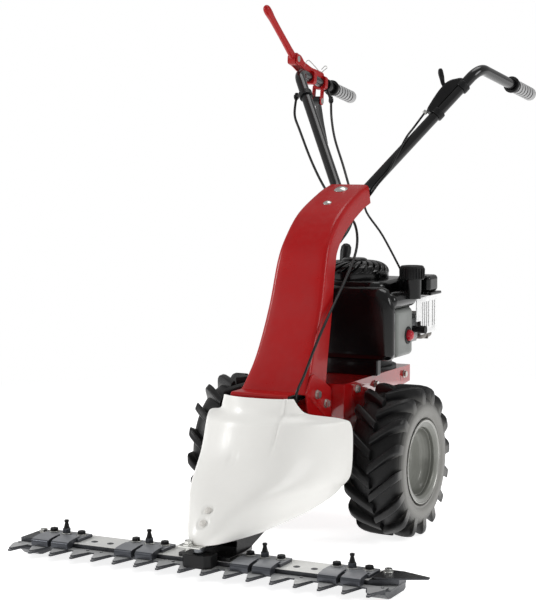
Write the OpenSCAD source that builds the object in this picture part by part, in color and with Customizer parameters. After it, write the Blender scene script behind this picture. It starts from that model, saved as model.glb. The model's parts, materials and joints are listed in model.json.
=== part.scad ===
// Walk-behind sickle bar mower, millimetres.
// The axle lies on Y = 0 inside the modules; place() moves it so that the
// origin is the middle of the footprint. Front is -Y, up is +Z.

/* [Wheels] */
// Outside diameter of the tyres
tyre_d = 330; // [310:1:350]
// Width of the tyres
tyre_w = 126; // [110:1:130]
// Distance between the tyre centres
track = 378; // [372:1:420]
// Height of the tread lugs
lug_h = 14; // [8:1:16]
// Width of a tread lug
lug_w = 17; // [12:1:22]
// Lugs in each of the two rows
lug_count = 16; // [12:1:18]
// Bead seat diameter of the rims
rim_d = 152; // [144:1:160]
// Sheet thickness of the rims
rim_t = 3; // [2:0.5:4]
// Diameter of the axle
axle_d = 25; // [20:1:28]

/* [Cutter bar] */
// Distance between the teeth
tooth_pitch = 50; // [46:1:54]
// Number of teeth
tooth_count = 17; // [15:2:17]
// Sideways offset of the bar from the middle plane
bar_offset = -36; // [-40:1:-32]
// Distance of the tooth tips in front of the axle
tip_reach = 558; // [550:1:570]
// Length of the free part of a tooth
tooth_len = 58; // [50:1:60]
// Width of the carrier bar
bar_w = 78; // [70:1:84]
// Thickness of the carrier bar
bar_t = 12; // [10:1:14]
// Height of the comb plate above the ground
comb_z = 20; // [16:1:24]
// Thickness of the comb plate
comb_t = 4; // [3:0.5:5]
// Thickness of the knife
knife_t = 3; // [2:0.5:4]
// Stroke of the knife to each side
stroke = 25; // [20:1:25]

/* [Frame] */
// Outside width of the chassis tray
tray_w = 216; // [206:1:222]
// Front edge of the tray in front of the axle
tray_front = 105; // [100:1:110]
// Rear edge of the tray behind the axle
tray_rear = 262; // [256:1:280]
// Height of the top of the tray
tray_z = 338; // [334:1:344]
// Thickness of the tray sheet
tray_t = 3; // [2:0.5:4]
// Width of the column at its foot
column_foot_w = 160; // [150:1:168]
// Width of the column at its top
column_top_w = 100; // [94:1:110]
// Thickness of the column sheet
column_t = 3; // [2:0.5:4]
// Bend radius of the column sheet
column_bend = 10; // [6:1:14]
// Thickness of the front guard
guard_t = 3; // [2:0.5:4]
// Width of the front guard over its wings
guard_w = 344; // [320:2:350]

/* [Handlebar] */
// Outside diameter of the handle tubes
handle_d = 25; // [22:1:26]
// Wall of the handle tubes
handle_wall = 2; // [1.5:0.5:3]
// Distance between the grips
handle_span = 492; // [460:2:520]
// Height of the bend of the handles
handle_z = 1023; // [1000:1:1050]
// Length of a grip
grip_len = 140; // [120:1:150]
// Outside diameter of a grip
grip_d = 33; // [30:1:36]
// Length of the blade lever
lever_len = 190; // [160:1:200]

/* [Engine] */
// Radius of the starter dome
dome_r = 78; // [72:1:82]
// Height of the starter dome top
dome_z = 590; // [580:1:600]
// Number of dome louvres
louvre_count = 24; // [18:1:30]
// Width of the fuel tank
tank_w = 196; // [176:1:200]
// Diameter of the fuel cap
cap_d = 58; // [50:1:62]
// Number of cooling fins
fin_count = 7; // [5:1:8]

/* [Drive] */
// Belt groove radius of the blade pulley
blade_pulley_r = 45; // [40:1:48]
// Belt groove radius of the gearbox pulley
gear_pulley_r = 50; // [44:1:54]
// Belt groove radius of the engine pulley
engine_pulley_r = 30; // [26:1:32]
// Length of the swing arm that drives the knife
arm_len = 100; // [95:1:105]

/* [Hidden] */
$fn = 48;

run_gap = 0.05;
loose_gap = 0.4;
seat_gap = 0.2;
axle_z = tyre_d / 2;
wheel_x = track / 2;
axle_r = axle_d / 2;
grip_rear = 704;
axle_y = (tip_reach - grip_rear - 4) / 2;

function unit(v) = v / norm(v);
function lerp(a, b, t) = a + (b - a) * t;
function power(v, p) = sign(v) * pow(abs(v), p);

// One piece of a smooth curve through four stations of any kind
function curve_at(a, b, c, d, t) =
  0.5 * (2 * b + (c - a) * t + (2 * a - 5 * b + 4 * c - d) * t * t + (3 * b - a - 3 * c + d) * t * t * t);

// Smooth curve through stations, with n steps between two of them
function curve(s, n) = [
  for (i = [0 : len(s) - 2], k = [0 : n - 1])
    curve_at(s[max(i - 1, 0)], s[i], s[i + 1], s[min(i + 2, len(s) - 1)], k / n),
  s[len(s) - 1]
];

// Direction of a path at point i
function heading(p, i) = unit(p[min(i + 1, len(p) - 1)] - p[max(i - 1, 0)]);

// Closed outline of a sheet of thickness t to the right of a polyline
function thick(p, t) = concat(p, [
  for (i = [len(p) - 1 : -1 : 0])
    let (d = heading(p, i))
      p[i] + t * [d[1], -d[0]]
]);

// Moves the axle frame so that the origin is the middle of the footprint
module place() {
  translate([0, axle_y, 0])
    children();
}

// Points the Z axis of the children from p along d
module aim(p, d) {
  translate(p)
    rotate([0, acos(d[2] / norm(d)), atan2(d[1], d[0])])
      children();
}

// Lays the Z axis of the children along +X
module along_x(p) {
  translate(p)
    rotate([0, 90, 0])
      children();
}

// Closed sheet between two grids of points with the same rows and columns
module sheet(top, under) {
  rows = len(top);
  cols = len(top[0]);
  count = rows * cols;
  points = concat([for (r = top, p = r) p], [for (r = under, p = r) p]);
  upper = [
    for (i = [0 : rows - 2], j = [0 : cols - 2])
      let (a = i * cols + j, b = a + 1, c = a + cols, d = c + 1)
        each [[a, b, c], [b, d, c]]
  ];
  lower = [for (f = upper) [f[0] + count, f[2] + count, f[1] + count]];
  rim = concat(
    [for (j = [0 : cols - 2]) [j, j + 1]],
    [for (i = [0 : rows - 2]) [i * cols + cols - 1, (i + 1) * cols + cols - 1]],
    [for (j = [cols - 2 : -1 : 0]) [(rows - 1) * cols + j + 1, (rows - 1) * cols + j]],
    [for (i = [rows - 2 : -1 : 0]) [(i + 1) * cols, i * cols]]
  );
  border = [for (e = rim) each [[e[0], e[1] + count, e[1]], [e[0], e[0] + count, e[1] + count]]];
  polyhedron(points, concat(upper, lower, border));
}

// Points of the rings of a round sweep of radius r along a path
function rings(path, r, sides) = let (
  count = len(path),
  normals = [
    for (i = 0, n = unit(cross(heading(path, 0), [1, 0.3, 0])); i < count;
      i = i + 1, n = i < count ? unit(n - (n * heading(path, i)) * heading(path, i)) : n) n
  ]
) [
  for (i = [0 : count - 1], k = [0 : sides - 1])
    let (a = 360 * k / sides, n = normals[i], b = cross(heading(path, i), n))
      path[i] + r * (cos(a) * n + sin(a) * b)
];

// Faces between the rings of a sweep
function skin(count, sides) = [
  for (i = [0 : count - 2], k = [0 : sides - 1])
    let (a = i * sides + k, b = i * sides + (k + 1) % sides, c = a + sides, d = b + sides)
      each [[a, c, b], [b, c, d]]
];

// Round cord of radius r swept along a path
module cord(path, r, sides) {
  last = (len(path) - 1) * sides;
  start = [for (k = [1 : sides - 2]) [0, k, k + 1]];
  end = [for (k = [1 : sides - 2]) [last, last + k + 1, last + k]];
  polyhedron(rings(path, r, sides), concat(skin(len(path), sides), start, end));
}

// Round tube of outside radius r swept along a path
module tube(path, r, wall, sides) {
  size = len(path) * sides;
  last = size - sides;
  outside = skin(len(path), sides);
  inside = [for (f = outside) [f[0] + size, f[2] + size, f[1] + size]];
  ends = [
    for (k = [0 : sides - 1])
      let (n = (k + 1) % sides)
        each [
          [k, n, n + size], [k, n + size, k + size],
          [last + k, last + k + size, last + n], [last + n, last + k + size, last + n + size]
        ]
  ];
  polyhedron(
    concat(rings(path, r, sides), rings(path, r - wall, sides)),
    concat(outside, inside, ends)
  );
}

// Path of straight runs joined by round bends
function bent_path(p, bend, steps) = let (last = len(p) - 1) concat(
  [p[0]],
  [for (i = [1 : last - 1], k = [0 : steps])
    let (
      d = unit(p[i] - p[i - 1]),
      e = unit(p[i + 1] - p[i]),
      turn = acos(d * e),
      inward = unit(e - d * cos(turn)),
      start = p[i] - bend * tan(turn / 2) * d,
      a = turn * k / steps
    ) start + bend * (1 - cos(a)) * inward + bend * sin(a) * d],
  [p[last]]
);

// Hexagon head bolt with its washer, seated at z = 0
module hex_bolt(d) {
  cylinder(d = 2.2 * d, h = 0.25 * d);
  translate([0, 0, 0.25 * d])
    cylinder(d = 1.85 * d, h = 0.65 * d, $fn = 6);
}

// Round headed bolt, seated at z = 0
module round_bolt(d) {
  rotate_extrude()
    intersection() {
      translate([0, -1.2 * d])
        circle(r = 1.7 * d);
      square([1.2 * d, d]);
    }
}

// Solid through a stack of outlines that have the same number of points
module loft(rings) {
  count = len(rings[0]);
  last = (len(rings) - 1) * count;
  skin = [
    for (i = [0 : len(rings) - 2], k = [0 : count - 1])
      let (a = i * count + k, b = i * count + (k + 1) % count, c = a + count, d = b + count)
        each [[a, c, b], [b, c, d]]
  ];
  start = [for (k = [1 : count - 2]) [0, k, k + 1]];
  end = [for (k = [1 : count - 2]) [last, last + k + 1, last + k]];
  polyhedron([for (r = rings, p = r) p], concat(skin, start, end));
}

// Level outline of a box with round corners, drawn in by an inset
function soft_ring(low, high, r, inset, z) = let (c = [[1, 1], [-1, 1], [-1, -1],
[1, -1]], k = r - inset) [
  for (i = [0 : 3], a = [0 : 22.5 : 90])
    let (
      x = c[i][0] > 0 ? high[0] - r : low[0] + r,
      y = c[i][1] > 0 ? high[1] - r : low[1] + r
    ) [x + k * cos(a + 90 * i), y + k * sin(a + 90 * i), z]
];

// Box with all edges rounded by r; the upright corners have 1.6 times that radius
module soft_box(low, high, r) {
  steps = [0 : 30 : 90];
  loft(concat(
    [for (a = steps) soft_ring(low, high, 1.6 * r, r * (1 - sin(a)), low[2] + r * (1 - cos(a)))],
    [for (a = steps) soft_ring(low, high, 1.6 * r, r * (1 - cos(a)), high[2] - r * (1 - sin(a)))]
  ));
}

bead_x = 50;
bead_r = rim_d / 2 + rim_t / 2 - 0.2;
carcass_r = tyre_d / 2 - lug_h;
carcass_wall = 8;
lip_share = 0.2;
rim_lip = lip_share * (carcass_r - bead_r);
rim_half = bead_x + 10;
hub_r = 21;
hub_in = -46;
hub_out = 22;
pin_d = 8;
pin_x = -34;

// Section of the tyre wall as [radius, sideways]
function tyre_point(a, inset) = let (mid = (carcass_r + bead_r) / 2, half = (carcass_r - bead_r) / 2)
  [mid + (half - inset) * power(sin(a), 0.75), (tyre_w / 2 - inset) * power(cos(a), 0.75)];

module tyre_shape() {
  outline = concat(
    [[bead_r, bead_x - carcass_wall], [bead_r, bead_x]],
    [for (a = [-40 : 13 : 220]) tyre_point(a, 0)],
    [[bead_r, -bead_x], [bead_r, carcass_wall - bead_x]],
    [for (a = [220 : -26 : -40]) tyre_point(a, carcass_wall)]
  );
  rotate_extrude()
    polygon(outline);
  intersection() {
    for (side = [-1, 1], i = [0 : lug_count - 1])
      rotate([0, 0, 360 / lug_count * (i + (side > 0 ? 0.5 : 0))])
        translate([carcass_r - 8, 0, side * tyre_w * 0.24])
          rotate([side * 36, 0, 0])
            translate([0, -lug_w / 2, -tyre_w * 0.31])
              cube([lug_h + 12, lug_w, tyre_w * 0.62]);
    rotate_extrude()
      polygon([
        [carcass_r - 7, -tyre_w * 0.36], [carcass_r - 16, -tyre_w * 0.46],
        [carcass_r + 1, -tyre_w * 0.48],
        [tyre_d / 2 - 3, -tyre_w * 0.42], [tyre_d / 2, -tyre_w * 0.28],
        [tyre_d / 2, tyre_w * 0.28], [tyre_d / 2 - 3, tyre_w * 0.42],
        [carcass_r + 1, tyre_w * 0.48], [carcass_r - 16, tyre_w * 0.46], [carcass_r - 7, tyre_w * 0.36]
      ]);
  }
}

// Pressed rim with a dished disc and hub, outer side towards +Z
module rim_shape() {
  seat = bead_r - 0.3;
  well = seat - 10;
  barrel = [
    [seat + rim_lip, rim_half], [seat + rim_lip - 3, rim_half - 3], [seat + 4, rim_half - 4.5],
    [seat, rim_half - 6], [seat, 36], [well, 28], [well, -28], [seat, -36], [seat, 6 - rim_half],
    [seat + 4, 4.5 - rim_half], [seat + rim_lip - 3, 3 - rim_half], [seat + rim_lip, -rim_half]
  ];
  disc = [[well - 1, 30], [well - 5, 26], [well - 9, 18], [well - 16, 14], [hub_r - 4, 14]];
  difference() {
    union() {
      rotate_extrude()
        union() {
          polygon(thick([for (i = [len(barrel) - 1 : -1 : 0]) barrel[i]], -rim_t));
          polygon(thick(disc, rim_t));
        }
      translate([0, 0, hub_in])
        cylinder(r = hub_r, h = hub_out - hub_in);
    }
    translate([0, 0, hub_in - 1])
      cylinder(r = axle_r + run_gap, h = hub_out - hub_in + 2);
    translate([0, 0, pin_x])
      rotate([90, 0, 0])
        cylinder(d = pin_d + 2 * run_gap, h = 3 * hub_r, center = true);
  }
}

module wheel_place(side) {
  translate([side * wheel_x, 0, axle_z])
    rotate([0, side * 90, 0])
      children();
}

module tyre_left() color([0.12, 0.12, 0.12]) wheel_place(1) tyre_shape();
module tyre_right()
  color([0.12, 0.12, 0.12])
    wheel_place(-1)
      rotate([0, 0, 180])
        mirror([0, 1, 0])
          tyre_shape();
module rim_left() color([0.75, 0.76, 0.78]) wheel_place(1) rim_shape();
module rim_right() color([0.75, 0.76, 0.78]) wheel_place(-1) rim_shape();

module axle() {
  length = 2 * (wheel_x - 8);
  color([0.6, 0.6, 0.62])
    difference() {
      along_x([-length / 2, 0, axle_z])
        cylinder(r = axle_r, h = length);
      for (side = [-1, 1])
        translate([side * (wheel_x + pin_x), 0, axle_z])
          rotate([90, 0, 0])
            cylinder(d = pin_d + 2 * run_gap, h = 4 * axle_r, center = true);
    }
}

module wheel_pins() {
  reach = hub_r + 5;
  color([0.75, 0.75, 0.72])
    for (side = [-1, 1])
      translate([side * (wheel_x + pin_x), 0, axle_z])
        rotate([90, 0, 0]) {
          cylinder(d = pin_d, h = 2 * reach, center = true);
          translate([0, 0, hub_r + 1])
            cylinder(d = pin_d + 6, h = 4);
        }
}

skirt_x = tray_w / 2;
bush_r = axle_r + 7;
bush_len = 12;

module axle_bushes() {
  color([0.55, 0.45, 0.25])
    for (side = [-1, 1])
      translate([side * skirt_x, 0, axle_z])
        rotate([0, -side * 90, 0])
          difference() {
            union() {
              translate([0, 0, -2])
                cylinder(r = bush_r, h = bush_len);
              translate([0, 0, tray_t + seat_gap])
                cylinder(r = bush_r + 5, h = 4);
            }
            translate([0, 0, -3])
              cylinder(r = axle_r + run_gap, h = bush_len + 4);
          }
}

crank = [10, 165];
blade_axis = [0, -215];
gear_axis = [0, 0];
blade_belt_z = tray_z - 20;
drive_belt_z = tray_z - 38;
groove_h = 12;
belt_w = 8;
belt_steps = 24;
belt_t = 6;
idler_post = [86, 40];
idler_reach = 100;
idler_r = 18;
post_r = 6;
skirt_foot = axle_z - 35;
slit = [2, 24];

module tray() {
  side = [
    [-tray_front, tray_z], [tray_rear, tray_z], [tray_rear, tray_z - 38], [150, tray_z - 48],
    [75, axle_z + 25],
    [48, skirt_foot], [-48, skirt_foot], [-75, axle_z + 25], [-tray_front, tray_z - 88]
  ];
  window = 2 * blade_pulley_r + 34;
  color([0.8, 0.1, 0.09])
    difference() {
      union() {
        translate([-skirt_x, -tray_front, tray_z - tray_t])
          cube([tray_w, tray_front + tray_rear, tray_t]);
        for (x = [-skirt_x, skirt_x - tray_t])
          along_x([x, 0, 0])
            linear_extrude(tray_t)
              polygon([for (p = side) [-p[1], p[0]]]);
        translate([-skirt_x, -tray_front, tray_z - 88])
          cube([tray_w, tray_t, 88]);
        translate([-skirt_x, tray_rear - tray_t, tray_z - 38])
          cube([tray_w, tray_t, 38]);
        translate([idler_post[0], idler_post[1], drive_belt_z + 2])
          cylinder(r = post_r, h = tray_z - drive_belt_z - 3);
      }
      translate([crank[0], crank[1], tray_z - 10])
        cylinder(r = 30, h = 20);
      translate([-window / 2, -tray_front - 1, blade_belt_z - 10])
        cube([window, tray_t + 2, 20]);
      for (s = [-1, 1]) {
        along_x([s * skirt_x - 5, 0, axle_z])
          cylinder(r = bush_r + seat_gap, h = 10);
        for (y = [-62, 205])
          translate([s * skirt_x - 5, y, tray_z - tray_t - slit[1] - 4])
            cube([10, slit[0], slit[1]]);
      }
      translate([drive_cable_x, drive_cable_y, tray_z - 10])
        cylinder(r = 6, h = 20);
    }
}

drive_cable_x = -75;
drive_cable_y = -60;

// Column stations up the front face: [back, height, width, flange depth]
column_stations = [
  [-226, 330, column_foot_w, 104], [-180, 400, lerp(column_foot_w, column_top_w, 0.4), 84],
  [-127, 500, lerp(column_foot_w, column_top_w, 0.54), 58],
  [-92, 600, lerp(column_foot_w, column_top_w, 0.68), 50],
  [-58, 652, lerp(column_foot_w, column_top_w, 0.8), 47],
  [2, 700, lerp(column_foot_w, column_top_w, 0.84), 46],
  [96, 741, lerp(column_foot_w, column_top_w, 0.95), 45], [152, 757, column_top_w, 44]
];

// One U section of the column; inset gives the inner face
function channel(s, t, inset) = let (
  n = [t[1], -t[0]], w = s[2] / 2, c = w - column_bend, r = column_bend - inset,
  bow = [for (a = [0 : 22.5 : 90]) [c + r * cos(a), column_bend - r * sin(a)]],
  right = concat([[w - inset, s[3]], [w - inset, lerp(column_bend, s[3], 0.5)]], bow),
  left = [for (i = [len(right) - 1 : -1 : 0]) [-right[i][0], right[i][1]]]
) [for (q = concat(right, left)) [q[0], s[0] + q[1] * n[0], s[1] + q[1] * n[1]]];

column_path = curve(column_stations, 5);
function column_dir(i) = let (d = heading(column_path, i)) unit([d[0], d[1]]);
function column_grid(inset) = [
  for (i = [0 : len(column_path) - 1])
    channel(column_path[i], column_dir(i), inset)
];

gusset_low = tray_z - 84;
gusset = [
  [-226, 331], [-196, 372], [-150, 352], [-tray_front, 330], [-tray_front, gusset_low],
  [-196, gusset_low], [-222, gusset_low + 40]
];

// Lip at the foot of the column that reaches over the blade pulley
toe_y = blade_axis[1] - blade_pulley_r - belt_t - 3;
toe_z = blade_belt_z + groove_h / 2 + 6.5;
toe_end = 56;
toe = [
  [-222, toe_z], [toe_y + 2.5, toe_z], [toe_y, toe_z - 2], [toe_y, toe_z - 14],
  [toe_y - column_t, toe_z - 14],
  [toe_y - column_t, toe_z - 1], [toe_y + 1, toe_z + column_t], [-222, toe_z + column_t]
];

module column() {
  color([0.82, 0.1, 0.09]) {
    sheet(column_grid(0), column_grid(column_t));
    along_x([4 - column_foot_w / 2, 0, 0])
      linear_extrude(column_foot_w / 2 - 4 + toe_end)
        polygon([for (p = toe) [-p[1], p[0]]]);
    for (s = [-1, 1])
      along_x([s * (column_foot_w / 2 - 3.5) - 2, 0, 0])
        linear_extrude(4)
          polygon([for (p = gusset) [-p[1], p[0]]]);
  }
}

gusset_out = column_foot_w / 2 - 1.5;
gusset_in = column_foot_w / 2 - 5.5;

// Seat on the front face of the column at a point of its path
module on_column(i) {
  d = column_dir(i);
  aim([0, column_path[i][0], column_path[i][1]], [0, -d[1], d[0]])
    translate([0, 0, seat_gap])
      children();
}

module frame_bolts() {
  color([0.78, 0.78, 0.76]) {
    on_column(27)
      round_bolt(8);
    on_column(31)
      round_bolt(13);
    for (s = [-1, 1]) {
      for (p = [[-178, 325], [-135, 300]])
        translate([s * gusset_out, p[0], p[1]])
          rotate([0, s * 90, 0])
            hex_bolt(9);
      for (p = [[-40, tray_z - 18], [60, tray_z - 20], [225, tray_z - 18]])
        translate([s * skirt_x, p[0], p[1]])
          rotate([0, s * 90, 0])
            hex_bolt(8);
    }
  }
}

knife_z = comb_z + comb_t + 0.3;
bar_z = comb_z + comb_t;
bar_top = bar_z + bar_t;
bar_front = -(tip_reach - tooth_len);
bar_back = bar_front + bar_w;
flange_t = 8;
case_z = bar_top + flange_t;
arm_z = case_z + 12;
arm_t = 10;
arm_pin_y = bar_front - 20;
arm_pivot_y = arm_pin_y + arm_len;
arm_pin_r = 6;
case_front = arm_pivot_y - 34;
case_top = arm_z + arm_t + 26;
tube_r = 34;
case_half = 36;
drive_x = -12;
shaft_r = 10;
tube_top = blade_belt_z - 28;
bar_left = bar_offset - 412;
bar_right = bar_offset + 424;

module gear_case() {
  plate_z = gusset_low + 14;
  back = blade_axis[1] + tube_r;
  neck_low = case_top + 18;
  color([0.16, 0.16, 0.17])
    difference() {
      union() {
        translate([blade_axis[0], blade_axis[1], neck_low + 20])
          cylinder(r = tube_r, h = tube_top - neck_low - 20);
        translate([blade_axis[0], blade_axis[1], tube_top - 14])
          cylinder(r = tube_r + 6, h = 14);
        along_x([-case_half, 0, 0])
          linear_extrude(2 * case_half)
            polygon([
              [-case_z, case_front], [-case_z, case_front + 64], [-neck_low, back],
              [-neck_low - 76, back],
              [-neck_low - 76, back - 2 * tube_r], [-case_top, case_front + 50], [-case_top, case_front]
            ]);
        translate([-gusset_in, blade_axis[1] + 10, plate_z])
          cube([2 * gusset_in, 84, 8]);
        for (x = [-20, 16])
          translate([x, blade_axis[1] + 20, neck_low + 40])
            cube([4, 60, plate_z - neck_low - 39]);
      }
      translate([blade_axis[0], blade_axis[1], neck_low + 24])
        cylinder(r = shaft_r + run_gap, h = tube_top);
      translate([drive_x, 0, arm_z - loose_gap])
        linear_extrude(arm_t + 2 * loose_gap) {
          translate([0, arm_pivot_y])
            circle(r = 18);
          polygon([
            [-16, arm_pivot_y], [16, arm_pivot_y], [60, case_front - 10], [-60, case_front - 10]
          ]);
        }
    }
  color([0.16, 0.16, 0.17])
    translate([drive_x, arm_pivot_y, arm_z - 4])
      cylinder(r = arm_pin_r, h = arm_t + 8);
}

module swing_arm() {
  color([0.5, 0.5, 0.52])
    translate([drive_x, 0, 0]) {
      difference() {
        translate([0, 0, arm_z])
          linear_extrude(arm_t) {
            translate([0, arm_pivot_y])
              circle(r = 15);
            polygon([[-13, arm_pivot_y], [13, arm_pivot_y], [10, arm_pin_y], [-10, arm_pin_y]]);
            translate([0, arm_pin_y])
              circle(r = 11);
          }
        translate([0, arm_pivot_y, arm_z - 1])
          cylinder(r = arm_pin_r + run_gap, h = arm_t + 2);
      }
      translate([0, arm_pin_y, bar_z + 12])
        cylinder(r = arm_pin_r, h = arm_z - bar_z - 11);
    }
}

head_half = 32;

module knife_head() {
  base = knife_z + knife_t;
  slot_w = 2 * arm_pin_r + 2 * loose_gap;
  color([0.1, 0.1, 0.1])
    difference() {
      translate([drive_x, 0, base])
        linear_extrude(arm_z - 2 - base)
          polygon([
            [-head_half, bar_front - 2], [head_half, bar_front - 2], [head_half, bar_front - 28],
            [head_half - 10, bar_front - 40], [10 - head_half, bar_front - 40],
            [-head_half, bar_front - 28]
          ]);
      translate([drive_x - slot_w / 2, arm_pin_y - 12, bar_z + 10])
        cube([slot_w, 24, arm_z]);
    }
}

// Outline of a row of teeth on a strip
function teeth(root_y, tip_y, root_half, tip_half) = [
  for (i = [0 : tooth_count - 1])
    let (x = bar_offset + (i - (tooth_count - 1) / 2) * tooth_pitch)
      each [[x - root_half, root_y], [x - tip_half, tip_y], [x + tip_half, tip_y],
      [x + root_half, root_y]]
];

teeth_half = (tooth_count - 1) / 2 * tooth_pitch;

module comb() {
  color([0.35, 0.35, 0.36])
    translate([0, 0, comb_z])
      linear_extrude(comb_t)
        polygon(concat(
          [[bar_offset - teeth_half - 12, bar_back - 8]],
          teeth(bar_front - 6, -tip_reach, 17, 3),
          [[bar_offset + teeth_half + 24, bar_front - 6], [bar_offset + teeth_half + 24, bar_back - 8]]
        ));
}

knife_back = bar_front - 1;

module knife() {
  color([0.62, 0.63, 0.65]) {
    translate([0, 0, knife_z])
      linear_extrude(knife_t)
        polygon(concat(
          [[bar_offset - teeth_half - 14, knife_back]],
          teeth(knife_back - 18, -tip_reach + 4, 18, 3),
          [[bar_offset + teeth_half + 18, knife_back]]
        ));
    for (i = [0 : tooth_count - 1], s = [-9, 9]) {
      x = bar_offset + (i - (tooth_count - 1) / 2) * tooth_pitch + s;
      if (abs(x - drive_x) > head_half + 4 && clip_free(x))
        translate([x, knife_back - 8, knife_z + knife_t - 1])
          cylinder(d = 6, h = 2.6, $fn = 24);
    }
  }
}

clip_places = [-325, -125, 138, 325];
clip_w = 98;
pad_w = 46;
clip_z = knife_z + knife_t + loose_gap;

// True where no clip covers a rivet over the whole stroke
function clip_free(x) = min([for (c = clip_places) abs(x - bar_offset - c)]) > clip_w / 2 + stroke + 4;

module knife_clips() {
  color([0.66, 0.67, 0.68])
    for (c = clip_places)
      translate([bar_offset + c, 0, 0]) {
        for (s = [-1, 1])
          along_x([s * 25 - pad_w / 2, 0, 0])
            linear_extrude(pad_w)
              polygon([
                [-clip_z, bar_front - 24], [-clip_z - 16, bar_front - 24], [-clip_z - 22, bar_front - 18],
                [-bar_top - 14, bar_front + 8], [-bar_top - 14, bar_front + 22],
                [-bar_top, bar_front + 22],
                [-bar_top, bar_front], [-clip_z, bar_front - 3]
              ]);
        translate([-clip_w / 2, bar_front + 10, bar_top])
          cube([clip_w, 52, 7]);
      }
}

module clip_bolts() {
  seat = bar_top + 7;
  color([0.5, 0.5, 0.5])
    for (c = clip_places)
      translate([bar_offset + c, 0, 0]) {
        for (s = [-34, 34])
          translate([s, bar_front + 44, seat])
            hex_bolt(10);
        translate([0, bar_front + 40, seat]) {
          cylinder(d = 20, h = 3);
          translate([0, 0, 3])
            cylinder(d = 18, h = 9, $fn = 6);
          translate([0, 0, 12])
            cylinder(d = 10, h = 18);
        }
      }
}

module cutter_bar() {
  color([0.55, 0.56, 0.57])
    translate([0, 0, bar_z])
      linear_extrude(bar_t)
        polygon([
          [bar_left, bar_front], [bar_right - 48, bar_front], [bar_right, bar_front + 34],
          [bar_right, bar_back - 6], [bar_right - 20, bar_back], [bar_left, bar_back]
        ]);
}

module end_shoes() {
  color([0.2, 0.2, 0.21]) {
    for (x = [bar_left + 2, bar_right - 50])
      along_x([x, 0, 0])
        linear_extrude(40)
          polygon([
            [-comb_z, bar_front - 8], [-comb_z + 6, bar_front - 8], [-2, bar_front + 8],
            [0, bar_front + 18],
            [0, bar_back + 4], [-3, bar_back + 14], [-comb_z, bar_back + 14]
          ]);
    translate([0, 0, bar_top])
      linear_extrude(4)
        polygon([
          [bar_right - 46, bar_back - 2], [bar_right - 46, bar_front + 12],
          [bar_right - 20, bar_front + 12],
          [bar_right + 54, bar_front + 48], [bar_right + 54, bar_front + 56],
          [bar_right - 6, bar_back - 2]
        ]);
  }
}

module bar_flange() {
  color([0.1, 0.1, 0.1])
    translate([0, 0, bar_top])
      linear_extrude(flange_t)
        polygon([
          [-72, bar_front + 4], [44, bar_front + 4], [44, bar_back - 12], [case_half, case_front + 66],
          [-case_half, case_front + 66], [-72, bar_back - 12]
        ]);
}

module bar_bolts() {
  color([0.7, 0.7, 0.7]) {
    for (y = [bar_front + 20, bar_back - 26])
      translate([-56, y, case_z])
        hex_bolt(10);
    for (x = [bar_left + 20, bar_right - 30])
      translate([x, bar_back - 24, x > 0 ? bar_top + 4 : bar_top])
        hex_bolt(9);
  }
}

module nose_bracket() {
  foot = guard_screws[1] + 14 * [0.707, -0.707];
  head = guard_screws[0] + 14 * [0.707, -0.707];
  color([0.72, 0.72, 0.68])
    difference() {
      along_x([-18, 0, 0])
        linear_extrude(36)
          polygon([
            [-case_top, case_front + 40], [-case_top, foot[0] - 5], [-case_top - 4, foot[0] - 5],
            [-foot[1] - 1, foot[0]], [-head[1] - 7, head[0] + 7], [-head[1] - 5, head[0] + 9],
            [-case_top - 4, foot[0] + 8], [-case_top - 4, case_front + 40]
          ]);
      for (p = guard_screws)
        aim([0, p[0] + 20, p[1] - 20], [0, -0.707, 0.707])
          cylinder(d = screw_d + 2 * seat_gap, h = 40);
    }
}

guard_half = guard_w / 2;
guard_top_y = -312;
guard_nose_y = case_front - 91;
wing_y = -200;

// Front of the guard, from 0 at its upper edge to 1 at its nose
function nose_at(share) = lerp(guard_top_y, guard_nose_y, share);

// Guard stations down the front: [height, nose, half width, wing end]
guard_stations = [
  [331, nose_at(0), 0.47 * guard_half, wing_y - 90], [313, nose_at(0.06), 0.52 * guard_half, wing_y - 82],
  [298, nose_at(0.1), 0.6 * guard_half, wing_y - 66], [284, nose_at(0.15), 0.9 * guard_half, wing_y - 14],
  [268, nose_at(0.19), 0.985 * guard_half, wing_y],
  [215, nose_at(0.35), guard_half, wing_y], [165, nose_at(0.65), 0.97 * guard_half, wing_y],
  [140, nose_at(0.8), 0.86 * guard_half, wing_y], [115, nose_at(0.91), 0.72 * guard_half, wing_y - 6],
  [94, nose_at(0.975), 0.58 * guard_half, wing_y - 82],
  [76, nose_at(1), 0.37 * guard_half, guard_nose_y + 155]
];
guard_path = curve(guard_stations, 2);
guard_cols = 11;

// Point of the guard at a station and u from -1 to 1, moved in by an inset
function guard_point(s, u, inset) = let (
  w = s[2] - inset, nose = s[1] + inset, wing = s[3] + 0.4 * inset
) [w * u, nose + (wing - nose) * pow(abs(u), 2.6), s[0] - 0.5 * inset];
function guard_grid(inset) = [
  for (s = guard_path)
    [for (j = [-guard_cols : guard_cols]) guard_point(s, j / guard_cols, inset)]
];
guard_screws = [[guard_nose_y + 42.4, 136], [guard_nose_y + 21, 115]];
screw_d = 6;

module front_guard() {
  color([0.93, 0.93, 0.94])
    difference() {
      sheet(guard_grid(0), guard_grid(guard_t));
      for (p = guard_screws)
        aim([0, p[0] + 16, p[1] - 16], [0, -0.707, 0.707])
          cylinder(d = screw_d + 1, h = 40);
    }
}

module guard_bolts() {
  color([0.3, 0.3, 0.3])
    for (p = guard_screws)
      aim([0, p[0], p[1]], [0, -0.707, 0.707]) {
        translate([0, 0, 4 * seat_gap])
          round_bolt(screw_d);
        translate([0, 0, -20])
          cylinder(d = screw_d, h = 21);
      }
}

gearbox_top = axle_z + 82;
gearbox_half = 44;
input_r = 8;
select_y = 30;
select_z = axle_z + 44;

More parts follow.
